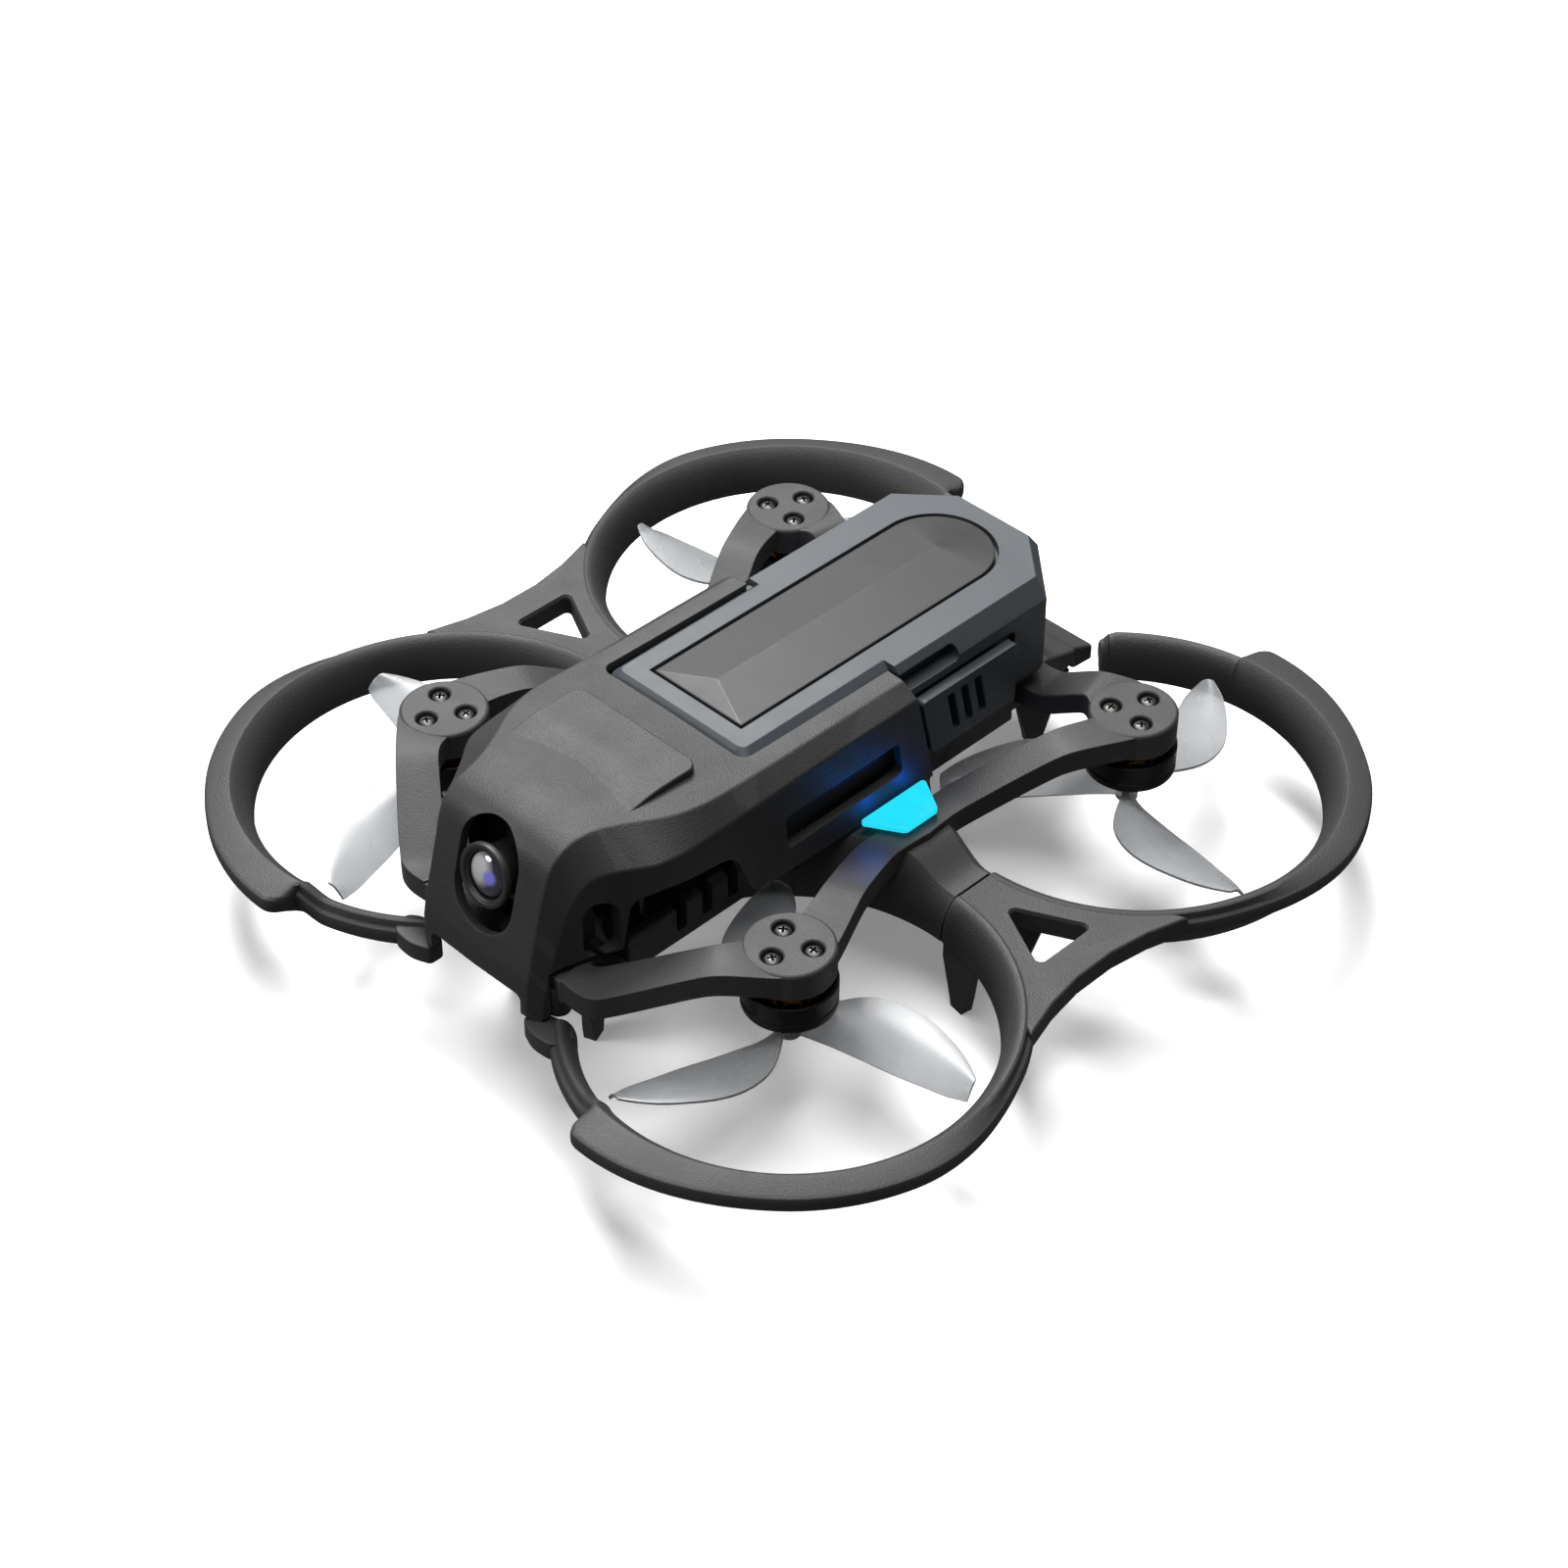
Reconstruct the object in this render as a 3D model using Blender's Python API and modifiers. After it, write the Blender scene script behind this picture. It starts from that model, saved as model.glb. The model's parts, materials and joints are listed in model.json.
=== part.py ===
"""FPV racing drone with ducted propellers, modelled as separate pieces.

Every size below is a fraction of HALF_SPACING, half the distance between neighbouring motors.
Heights are counted from the lower rim of the propeller guards. The nose points along -Y.
"""

import math

import bmesh
import bpy
from mathutils import Matrix, Vector

HALF_SPACING = 0.035
FOOT_DROP = 0.30
GAP = 0.00035 / HALF_SPACING

# Propeller guards and the keel between them
DUCT_R = 0.82
DUCT_WALL = 0.03
CREST_Z = 0.20
PLAIN_R = 0.945
BUMPER_R = 1.06
STRUT_R = 0.93
SEAM_X = 1.04
NOTCH_ANGLE = -98.5
FRONT_END_ANGLE = -133.0
REAR_END_ANGLE = -138.5
KEEL_TOP = 0.145
TRIANGLE_HOLE = ((1.22, 0.0), (1.53, -0.155), (1.53, 0.155))
BRIDGE_X = 1.685

# Arms and motor mounts
ARM_TOP = 0.50
ARM_THICK = 0.106
MOUNT_R = 0.185
MOUNT_TOP = 0.507
MOUNT_BOTTOM = 0.377
SCREW_CIRCLE = 0.0942
SCREW_HEAD_R = 0.0355
SCREW_SHANK_R = 0.018
SCREW_SEAT = MOUNT_TOP - 0.042

# Motors and propellers
BELL_R = 0.192
BELL_TOP = 0.338
BELL_BOTTOM = 0.212
SHAFT_R = 0.021
PROP_R = 0.783
PROP_HUB_R = 0.047
PROP_HUB_BOTTOM = 0.035
PROP_HUB_TOP = 0.198
BLADE_THICK = 0.015
BOSS_R = SHAFT_R + 0.004
BOSS_TOP = PROP_HUB_BOTTOM + 0.04

# Fuselage
SHELL = 0.042
TUB_HALF = 0.425
TUB_FLOOR = 0.16
TUB_RIM = 0.345
TUB_WALL = 0.04
NOSE_LEAN = math.radians(13.5)
WINDOW_HALF = 0.165
WINDOW_Z = (0.376, 0.876)
CHIN_Z = 0.22
SLOT_HALF = 0.404
SLOT_FRONT = -0.661

# Battery
BATTERY_HALF = 0.478
BATTERY_TOP = 0.857
BATTERY_BOTTOM = 0.375
BATTERY_REAR = 1.285
BATTERY_WALL = 0.075
SHOULDER_Z = 0.765
PLATE_FLOOR = BATTERY_TOP - 0.04
LATCH_HINGE = (0.492, 0.80)

# Camera
PIVOT_Y = -1.425
PIVOT_Z = 0.575
LENS_R = 0.134
LENS_REACH = 0.238
PIN_R = 0.030

ROTORS = {
    "front_right": (1, -1, 13.0, 1),
    "front_left": (-1, -1, -73.0, -1),
    "rear_right": (1, 1, -11.0, -1),
    "rear_left": (-1, 1, -170.0, 1),
}

TO_WORLD = Matrix.Scale(HALF_SPACING, 4) @ Matrix.Translation((0, 0, FOOT_DROP))


def clear_scene():
    for obj in list(bpy.data.objects):
        bpy.data.objects.remove(obj, do_unlink=True)


def new_collection(name, hidden=False):
    collection = bpy.data.collections.new(name)
    collection.hide_render = hidden
    bpy.context.scene.collection.children.link(collection)
    return collection


def new_material(name, rgb, roughness, metallic=0.0, alpha=1.0, glow=0.0):
    material = bpy.data.materials.new(name)
    material.use_nodes = True
    shader = material.node_tree.nodes["Principled BSDF"]
    shader.inputs["Base Color"].default_value = (*rgb, 1.0)
    shader.inputs["Roughness"].default_value = roughness
    shader.inputs["Metallic"].default_value = metallic
    shader.inputs["Alpha"].default_value = alpha
    shader.inputs["Emission Color"].default_value = (*rgb, 1.0)
    shader.inputs["Emission Strength"].default_value = glow
    material.diffuse_color = (*rgb, alpha)
    return material


def add(name, bm, material=None, origin=(0.0, 0.0, 0.0)):
    """An object of the drone from a bmesh in drone units, with its origin at the given point."""
    world_origin = TO_WORLD @ Vector(origin)
    bm.normal_update()
    bmesh.ops.recalc_face_normals(bm, faces=bm.faces)
    bm.transform(Matrix.Translation(-world_origin) @ TO_WORLD)
    mesh = bpy.data.meshes.new(name)
    bm.to_mesh(mesh)
    bm.free()
    obj = bpy.data.objects.new(name, mesh)
    obj.location = world_origin
    if material is None:
        CUTTERS.objects.link(obj)
        obj.hide_render = True
        obj.display_type = "WIRE"
    else:
        mesh.materials.append(material)
        DRONE.objects.link(obj)
    return obj


def boolean(obj, other, operation):
    modifier = obj.modifiers.new(operation.lower(), "BOOLEAN")
    modifier.operation = operation
    modifier.solver = "EXACT"
    modifier.object = other


def cut(obj, *cutters):
    for cutter in cutters:
        boolean(obj, cutter, "DIFFERENCE")


def join(obj, *others):
    for other in others:
        boolean(obj, other, "UNION")


def arc(centre, radius, start, end, steps):
    """Points of an arc in plan, with both ends, from angles in degrees."""
    points = []
    for i in range(steps + 1):
        angle = math.radians(start + (end - start) * i / steps)
        points.append((centre[0] + radius * math.cos(angle), centre[1] + radius * math.sin(angle)))
    return points


def rounded(corners, radius, steps=4):
    """The outline of a convex polygon with each corner rounded."""
    points = []
    count = len(corners)
    for i, corner in enumerate(corners):
        here = Vector(corner)
        back = (Vector(corners[i - 1]) - here).normalized()
        ahead = (Vector(corners[(i + 1) % count]) - here).normalized()
        half = back.angle(ahead) / 2
        centre = here + (back + ahead).normalized() * radius / math.sin(half)
        first = here + back * radius / math.tan(half) - centre
        last = here + ahead * radius / math.tan(half) - centre
        for step in range(steps + 1):
            spoke = first.lerp(last, step / steps).normalized() * radius
            points.append(tuple(centre + spoke))
    return points


def prism(outline, low, high):
    """A flat outline in plan, extruded between two heights."""
    bm = bmesh.new()
    face = bm.faces.new([bm.verts.new((x, y, low)) for x, y in outline])
    grown = bmesh.ops.extrude_face_region(bm, geom=[face])
    top = [v for v in grown["geom"] if isinstance(v, bmesh.types.BMVert)]
    bmesh.ops.translate(bm, verts=top, vec=(0, 0, high - low))
    return bm


def side_prism(outline, low, high):
    """An outline of (y, z) points extruded between two x values."""
    bm = bmesh.new()
    face = bm.faces.new([bm.verts.new((low, y, z)) for y, z in outline])
    grown = bmesh.ops.extrude_face_region(bm, geom=[face])
    far = [v for v in grown["geom"] if isinstance(v, bmesh.types.BMVert)]
    bmesh.ops.translate(bm, verts=far, vec=(high - low, 0, 0))
    return bm


def box(low, high):
    bm = bmesh.new()
    size = [b - a for a, b in zip(low, high)]
    middle = [(a + b) / 2 for a, b in zip(low, high)]
    matrix = Matrix.Translation(middle) @ Matrix.Diagonal((*size, 1))
    bmesh.ops.create_cube(bm, size=1, matrix=matrix)
    return bm


def cylinder(centre, radius, low, high, segments=24):
    """An upright cylinder between two heights."""
    bm = bmesh.new()
    matrix = Matrix.Translation((centre[0], centre[1], (low + high) / 2))
    bmesh.ops.create_cone(
        bm,
        cap_ends=True,
        segments=segments,
        radius1=radius,
        radius2=radius,
        depth=high - low,
        matrix=matrix,
    )
    return bm


def loft(sections):
    """A closed skin over sections that all hold the same number of points, each a loop."""
    bm = bmesh.new()
    loops = [[bm.verts.new(p) for p in section] for section in sections]
    for first, second in zip(loops, loops[1:]):
        for i in range(len(first)):
            bm.faces.new((first[i - 1], first[i], second[i], second[i - 1]))
    bm.faces.new(loops[0])
    bm.faces.new(loops[-1])
    return bm


def across(radius, low, high):
    """A cylinder along X on the camera's pivot."""
    rod = cylinder((0, 0), radius, low, high, 16)
    rod.transform(Matrix.Translation((0, PIVOT_Y, PIVOT_Z)) @ Matrix.Rotation(math.pi / 2, 4, "Y"))
    return rod


def mirrored(bm, x=False, y=False):
    """A copy of a bmesh reflected in x, y or both."""
    copy = bm.copy()
    bmesh.ops.scale(copy, verts=copy.verts, vec=(-1 if x else 1, -1 if y else 1, 1))
    return copy


def turned(name, profile, centre, material=None, segments=32):
    """A solid turned about an upright axis from (radius, height) points, top to bottom."""
    bm = bmesh.new()
    closed = profile[0] == profile[-1]
    points = [bm.verts.new((centre[0] + r, centre[1], z)) for r, z in profile[:len(profile) - closed]]
    for first, second in zip(points, points[1:] + points[:closed]):
        bm.edges.new((first, second))
    obj = add(name, bm, material, (centre[0], centre[1], 0.0))
    screw = obj.modifiers.new("turn", "SCREW")
    screw.axis = "Z"
    screw.steps = segments
    screw.render_steps = segments
    screw.use_merge_vertices = True
    screw.merge_threshold = 0.00001
    return obj


def smooth_step(value):
    value = min(max(value, 0.0), 1.0)
    return value * value * (3 - 2 * value)


# Guards ------------------------------------------------------------------------------------


def guard_section(angle, rear):
    """(radius, height) points round the guard's wall at an angle in degrees."""
    past_notch = min(max((angle - NOTCH_ANGLE) / 4.5, 0.0), 1.0)
    start = math.sqrt(1 - (1 - past_notch) ** 2)
    bumper = start * smooth_step((24.0 - angle) / 42.0)
    spread = BUMPER_R - 0.05 * smooth_step((angle - NOTCH_ANGLE) / 50.0) - PLAIN_R
    strut = smooth_step((NOTCH_ANGLE + 1.5 - angle) / 9.0)
    if rear:
        strut = 0.55 * smooth_step((REAR_END_ANGLE + 3.5 - angle) / 3.5)
    outer = PLAIN_R + spread * bumper
    outer += (STRUT_R - outer) * strut
    crest = CREST_Z - 0.06 * strut
    lip = 0.90 - 0.02 * strut
    edge = crest - 0.045 + 0.015 * bumper
    under = edge - 0.052
    return [
        (DUCT_R + DUCT_WALL, 0.0),
        (DUCT_R, 0.0),
        (DUCT_R, 0.2 * crest),
        (DUCT_R + 0.012, 0.5 * crest),
        (DUCT_R + 0.035, 0.8 * crest),
        (lip - 0.015, 0.965 * crest),
        (lip + 0.010, crest),
        (outer - 0.020, edge + 0.016),
        (outer, edge),
        (outer, under),
        (outer - 0.02, under - 0.014),
        (min(outer - 0.03, 0.90), 0.3 * under),
    ]


def ring_arc(side_y):
    """The guard round a right-hand propeller, from the nose or tail end to past the seam."""
    rear = side_y > 0
    first = REAR_END_ANGLE if rear else FRONT_END_ANGLE
    angles = [first + (NOTCH_ANGLE - 9 - first) * i / 6 for i in range(7)]
    if rear:
        angles[1:1] = [first + 1.2, first + 2.4, first + 3.6]
    angles += [NOTCH_ANGLE + step for step in (-6, -3.5, -1.5, 0, 0.15, 0.6, 1.4, 2.6, 4.5, 8)]
    angles += [NOTCH_ANGLE + 14 + 7.25 * i for i in range(25)]
    sections = []
    for angle in angles:
        turn = math.radians(angle)
        sections.append([
            (1 + r * math.cos(turn), side_y - side_y * r * math.sin(turn), z)
            for r, z in guard_section(angle, rear)
        ])
    return loft(sections)


def foot(x, y):
    """A wedge that hangs under the duct wall and ends in a small flat tip."""
    centre = Vector((math.copysign(1, x), math.copysign(1, y)))
    radial = (Vector((x, y)) - centre).normalized()
    along = Vector((-radial.y, radial.x))
    inner = centre + radial * (DUCT_R + 0.004)
    rings = []
    for height, half, depth in ((0.06, 0.13, 0.020), (-0.02, 0.11, 0.022), (-0.22, 0.055, 0.05),
                                (-FOOT_DROP, 0.035, 0.055)):
        near, far = inner, inner + radial * depth
        corners = (near - along * half, near + along * half, far + along * half, far - along * half)
        rings.append([(*corner, height) for corner in corners])
    return loft(rings)


def build_guard(name, mirror):
    ring = add(name, mirrored(ring_arc(-1), x=mirror), PLASTIC)
    other = add(name + "_rear_ring", mirrored(ring_arc(1), x=mirror))
    sign = -1 if mirror else 1
    web = [(SEAM_X - 0.06, -0.14), (1.30, -0.22), (1.66, -0.42), (1.765, -0.44), (1.708, -0.30),
           (BRIDGE_X, -0.15)]
    outline = [(sign * x, y) for x, y in web] + [(sign * x, -y) for x, y in reversed(web)]
    bridge = add(name + "_bridge", prism(outline, 0.095, CREST_Z - 0.008))
    for y in (-1, 1):
        duct = cylinder((sign, y), 0.905, -0.1, 0.4, 50)
        cut(bridge, add(name + "_duct", duct))
    hole = [(sign * x, y) for x, y in TRIANGLE_HOLE]
    cut(bridge, add(name + "_triangle", prism(rounded(hole, 0.022), -0.1, 0.4)))
    join(ring, other, bridge)
    for y in (-0.2, 0.2):
        join(ring, add(name + "_foot", foot(sign * 1.14, y)))
    tab = [(0.275, -1.73), (0.36, -1.765), (0.47, -1.755), (0.50, -1.66), (0.43, -1.615), (0.275, -1.66)]
    tab = [(sign * x, y) for x, y in tab]
    join(ring, add(name + "_nose_tab", prism(tab, 0.03, 0.118)))
    inside = sorted((sign * 0.5, sign * (SEAM_X + GAP / 2)))
    cut(ring, add(name + "_seam", box((inside[0], -0.35, -0.5), (inside[1], 0.35, 0.5))))
    return ring


# Frame ---------------------------------------------------------------------------------------


def hourglass(radius, x_limit, y_limit, end_half):
    """The plan outline between the four ducts."""
    start = 180 - math.degrees(math.acos((1 - x_limit) / radius))
    end = 180 + math.degrees(math.asin((y_limit - 1) / radius))
    quarter = arc((1, -1), radius, start, end, 10)
    quarter.append((end_half, -y_limit - 0.02))
    left = [(-x, y) for x, y in reversed(quarter)]
    front = quarter + left
    rear = [(x, -y) for x, y in reversed(front)]
    return front + rear


def duct_half_width(radius, x):
    return 1 - math.sqrt(radius * radius - (1 - x) ** 2)


def wing_section(x):
    """Half of the waist's section at x, as (y, z) points from the underside to the top."""
    rise = 0.10 * smooth_step((SEAM_X - 0.05 - x) / 0.22)
    top = CREST_Z - 0.008 + rise
    profile = [
        (0.94, 0.105),
        (DUCT_R + DUCT_WALL, 0.0),
        (DUCT_R, 0.0),
        (DUCT_R, 0.2 * top),
        (DUCT_R + 0.012, 0.5 * top),
        (DUCT_R + 0.035, 0.8 * top),
        (0.885, 0.965 * top),
        (0.915, top),
    ]
    return [(duct_half_width(radius, x), z) for radius, z in profile]


def wing(sign):
    """The waist between a front and a rear duct, from the body out to the guard's seam."""
    sections = []
    inner, outer = 0.435, SEAM_X - GAP / 2
    steps = 9
    for i in range(steps + 1):
        x = inner + (outer - inner) * i / steps
        half = wing_section(x)
        loop = [(sign * x, -y, z) for y, z in half] + [(sign * x, y, z) for y, z in reversed(half)]
        sections.append(loop)
    return loft(sections)


def arm(top_edge_points):
    """A flat arm from (outer, inner) pairs of (x, y, z) on its top face."""
    sections = []
    for outer, inner in top_edge_points:
        sections.append([
            outer,
            inner,
            (inner[0], inner[1], inner[2] - ARM_THICK),
            (outer[0], outer[1], outer[2] - ARM_THICK),
        ])
    return loft(sections)


FRONT_ARM = (
    ((1.10, -1.085, ARM_TOP), (0.90, -0.95, ARM_TOP)),
    ((1.105, -1.155, ARM_TOP), (0.855, -1.105, ARM_TOP)),
    ((0.905, -1.34, ARM_TOP), (0.79, -1.21, ARM_TOP)),
    ((0.57, -1.61, 0.335), (0.45, -1.47, 0.335)),
    ((0.40, -1.635, 0.335), (0.36, -1.47, 0.335)),
)
REAR_ARM = (
    ((1.06, 1.13, ARM_TOP), (1.00, 0.87, ARM_TOP)),
    ((0.90, 1.165, ARM_TOP), (0.86, 0.90, ARM_TOP)),
    ((0.735, 1.105, ARM_TOP), (0.785, 0.93, ARM_TOP)),
    ((0.50, 1.14, 0.345), (0.54, 0.95, 0.345)),
    ((0.36, 1.14, 0.335), (0.36, 0.95, 0.335)),
)
WAIST_ARM = (
    ((1.09, -0.97, ARM_TOP), (0.90, -1.02, ARM_TOP)),
    ((1.13, -0.88, ARM_TOP), (0.915, -0.86, ARM_TOP)),
    ((0.99, -0.575, ARM_TOP), (0.845, -0.65, ARM_TOP)),
    ((0.80, -0.20, 0.335), (0.655, -0.27, 0.335)),
    ((0.80, 0.01, 0.325), (0.655, 0.01, 0.325)),
)
# Half width, underside and top of the tail at each y; the underside clears the turning blades
TAIL = (
    (0.93, 0.40, 0.175, 0.335),
    (1.18, 0.40, 0.175, 0.335),
    (1.36, 0.36, 0.165, 0.250),
    (1.42, 0.33, 0.140, 0.208),
    (1.46, 0.30, 0.060, 0.180),
    (1.585, 0.30, 0.050, 0.130),
)


def tail_block():
    sections = []
    for y, half, low, high in TAIL:
        sections.append([(-half, y, low), (half, y, low), (half, y, high), (-half, y, high)])
    return loft(sections)


def build_frame():
    keel = hourglass(DUCT_R + 0.008, 0.47, 1.36, 0.20)
    frame = add("main_frame", prism(keel, 0.004, KEEL_TOP), PLASTIC)
    pocket = hourglass(DUCT_R + 0.045, 0.40, 1.32, 0.15)
    cut(frame, add("keel_pocket", prism(pocket, -0.1, KEEL_TOP - 0.035)))
    nose_plate = [(-0.40, -1.635), (0.40, -1.635), (0.40, -1.47), (-0.40, -1.47)]
    join(frame, add("nose_plate", prism(nose_plate, 0.215, 0.325)))
    spine = side_prism([(-1.62, 0.24), (-1.62, 0.30), (-1.38, 0.16), (-1.30, 0.13), (-1.25, 0.09),
                        (-1.34, 0.06), (-1.36, 0.10)], -0.19, 0.19)
    join(frame, add("spine", spine))
    join(frame, add("tail", tail_block()))
    for low_x, high_x in ((-0.28, -0.235), (0.235, 0.28)):
        cheek = side_prism([(-1.50, 0.30), (-1.34, 0.30), (-1.36, 0.65), (-1.49, 0.65)], low_x, high_x)
        join(frame, add("camera_bracket", cheek))
    cut(frame, add("pin_holes", across(PIN_R + GAP, -0.5, 0.5)))
    for sign in (-1, 1):
        join(frame, add("waist", wing(sign)))
        join(frame, add("nose_boss", cylinder((sign * 0.34, -1.60), 0.05, 0.118 + GAP, 0.26, 20)))
        for points in (FRONT_ARM, WAIST_ARM, REAR_ARM):
            join(frame, add("arm", mirrored(arm(points), x=sign < 0)))
        join(frame, add("arm", mirrored(arm(WAIST_ARM), x=sign < 0, y=True)))
    for x in (-1, 1):
        for y in (-1, 1):
            mount = cylinder((x, y), MOUNT_R, MOUNT_BOTTOM, MOUNT_TOP, 32)
            join(frame, add("mount", mount))
            join(frame, add("frame_foot", foot(x * 0.25, y * 1.30)))
    for name, (x, y, _, _) in ROTORS.items():
        for hole in screw_places(x, y):
            cut(frame, turned("screw_hole", (
                (0.0, MOUNT_TOP + 0.1),
                (SCREW_HEAD_R + 0.009, MOUNT_TOP + 0.1),
                (SCREW_HEAD_R + 0.009, SCREW_SEAT),
                (SCREW_SHANK_R + 0.008, SCREW_SEAT),
                (SCREW_SHANK_R + 0.008, MOUNT_BOTTOM - 0.1),
                (0.0, MOUNT_BOTTOM - 0.1),
            ), hole, segments=12))
    return frame


def screw_places(x, y):
    first = -90 if y < 0 else 90
    return arc((x, y), SCREW_CIRCLE, first, first + 360, 3)[:3]


# Motors and propellers -------------------------------------------------------------------------


def build_motor(name, x, y):
    base_top = MOUNT_BOTTOM - GAP
    turned("motor_stator_" + name, (
        (SHAFT_R + 0.012, base_top),
        (0.150, base_top),
        (0.150, base_top - 0.016),
        (0.075, base_top - 0.022),
        (0.075, BELL_BOTTOM + 0.035),
        (SHAFT_R + 0.012, BELL_BOTTOM + 0.035),
        (SHAFT_R + 0.012, base_top),
    ), (x, y), DARK_STEEL, 18)
    outline = []
    teeth = 9
    for i in range(teeth * 4):
        radius = 0.150 if i % 4 in (1, 2) else 0.112
        outline.append(arc((x, y), radius, 360 * i / (teeth * 4), 0, 1)[0])
    coils = prism(outline, BELL_BOTTOM + 0.045, BELL_TOP + 0.008)
    windings = add("motor_windings_" + name, coils, COPPER, (x, y, 0))
    cut(windings, add("windings_bore", cylinder((x, y), 0.075 + GAP, 0.0, 0.6, 20)))
    turned("motor_bell_" + name, (
        (0.0, MOUNT_BOTTOM - 0.045),
        (SHAFT_R, MOUNT_BOTTOM - 0.045),
        (SHAFT_R, BELL_BOTTOM + 0.022),
        (0.166, BELL_BOTTOM + 0.022),
        (0.166, BELL_TOP),
        (BELL_R, BELL_TOP),
        (BELL_R, BELL_BOTTOM + 0.016),
        (BELL_R - 0.012, BELL_BOTTOM),
        (BOSS_R, BELL_BOTTOM),
        (BOSS_R, BOSS_TOP),
        (0.0, BOSS_TOP),
    ), (x, y), BLACK_METAL, 24)


def blade_surface(spin):
    """The curved middle surface of one blade, with its trailing edge along +X."""
    stations = ((0.036, 8, 46), (0.10, 4, 50), (0.20, 2, 52), (0.32, 1, 49), (0.45, 0, 39),
                (0.60, 0, 23), (0.70, 0, 14), (PROP_R, 1, 7))
    bm = bmesh.new()
    rows = []
    for radius, trailing, leading in stations:
        pitch = 0.049 - 0.026 * radius
        row = []
        for step in range(4):
            share = step / 3
            angle = spin * math.radians(trailing + (leading - trailing) * share)
            height = 0.092 + pitch * (2 * share - 1) + 0.020 * math.sin(math.pi * share)
            row.append(bm.verts.new((radius * math.cos(angle), radius * math.sin(angle), height)))
        rows.append(row)
    for first, second in zip(rows, rows[1:]):
        for i in range(3):
            bm.faces.new((first[i], first[i + 1], second[i + 1], second[i]))
    bmesh.ops.triangulate(bm, faces=bm.faces)
    return bm


def build_propeller(name, x, y, angle, spin):
    hub = turned("propeller_" + name, (
        (0.0, PROP_HUB_TOP),
        (PROP_HUB_R, PROP_HUB_TOP),
        (PROP_HUB_R, PROP_HUB_BOTTOM),
        (PROP_HUB_R - 0.01, PROP_HUB_BOTTOM - 0.008),
        (0.0, PROP_HUB_BOTTOM - 0.008),
    ), (x, y), CLEAR, 18)
    for i in range(3):
        surface = blade_surface(spin)
        turn = Matrix.Rotation(math.radians(angle + 120 * i), 4, "Z")
        surface.transform(Matrix.Translation((x, y, 0)) @ turn)
        blade = add("blade", surface)
        thickness = blade.modifiers.new("thickness", "SOLIDIFY")
        thickness.thickness = BLADE_THICK * HALF_SPACING
        thickness.offset = 0
        join(hub, blade)
    bore = cylinder((x, y), BOSS_R + GAP / 2, BOSS_TOP - GAP / 2, 0.4, 18)
    cut(hub, add("hub_bore", bore))


def build_screws(name, x, y):
    for number, (sx, sy) in enumerate(screw_places(x, y), 1):
        top = MOUNT_TOP - 0.006
        screw = turned(f"motor_screw_{name}_{number}", (
            (0.0, top),
            (SCREW_HEAD_R, top),
            (SCREW_HEAD_R, SCREW_SEAT + GAP),
            (SCREW_SHANK_R, SCREW_SEAT + GAP),
            (SCREW_SHANK_R, MOUNT_BOTTOM),
            (0.0, MOUNT_BOTTOM),
        ), (sx, sy), STEEL, 12)
        for turn in (0, 90):
            slot = box((-0.022, -0.005, MOUNT_TOP - 0.026), (0.022, 0.005, MOUNT_TOP + 0.05))
            slot.transform(Matrix.Rotation(math.radians(turn + 20), 4, "Z"))
            slot.transform(Matrix.Translation((sx, sy, 0)))
            cut(screw, add("screw_slot", slot))


# Canopy ----------------------------------------------------------------------------------------

# Each row runs across half of the shell: the middle line, the upper crease and the lower crease,
# from the rear edge forward, over the brow and down the nose.
CANOPY_ROWS = (
    ((0.36, 0.855), (0.487, 0.36, 0.838), (0.560, 0.36, 0.780)),
    ((-0.50, 0.862), (0.492, -0.50, 0.850), (0.565, -0.50, 0.780)),
    ((-0.80, 0.872), (0.496, -0.80, 0.862), (0.568, -0.80, 0.776)),
    ((-0.96, 0.885), (0.490, -0.96, 0.868), (0.566, -0.98, 0.770)),
    ((-1.10, 0.894), (0.452, -1.10, 0.872), (0.560, -1.13, 0.766)),
    ((-1.25, 0.902), (0.372, -1.25, 0.878), (0.535, -1.25, 0.765)),
    ((-1.36, 0.904), (0.323, -1.36, 0.880), (0.460, -1.36, 0.758)),
    ((-1.46, 0.894), (0.303, -1.455, 0.869), (0.412, -1.46, 0.746)),
    ((-1.535, 0.868), (0.304, -1.530, 0.843), (0.404, -1.53, 0.710)),
    ((-1.590, 0.815), (0.304, -1.580, 0.790), (0.397, -1.573, 0.650)),
    ((-1.628, 0.690), (0.302, -1.618, 0.690), (0.389, -1.603, 0.570)),
    ((-1.668, 0.518), (0.301, -1.666, 0.518), (0.382, -1.643, 0.450)),
    ((-1.702, 0.386), (0.303, -1.700, 0.386), (0.376, -1.679, 0.324)),
    ((-1.722, 0.300), (0.300, -1.718, 0.300), (0.374, -1.700, 0.250)),
    ((-1.735, 0.135), (0.290, -1.728, 0.135), (0.366, -1.712, 0.135)),
)


def canopy_skin():
    bm = bmesh.new()
    rows = []
    for (middle_y, middle_z), upper, lower in CANOPY_ROWS:
        crown = (
            0.55 * upper[0],
            0.35 * middle_y + 0.65 * upper[1],
            0.35 * middle_z + 0.65 * upper[2] + 0.006,
        )
        hem = (lower[0], lower[1], min(lower[2] - 0.002, 0.133))
        half = (lower[0], lower[1], (lower[2] + hem[2]) / 2)
        points = [(0.0, middle_y, middle_z), crown, upper, lower, half, hem]
        rows.append([bm.verts.new(p) for p in points])
    for first, second in zip(rows, rows[1:]):
        for i in range(len(first) - 1):
            bm.faces.new((first[i], first[i + 1], second[i + 1], second[i]))
    return bm


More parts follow.
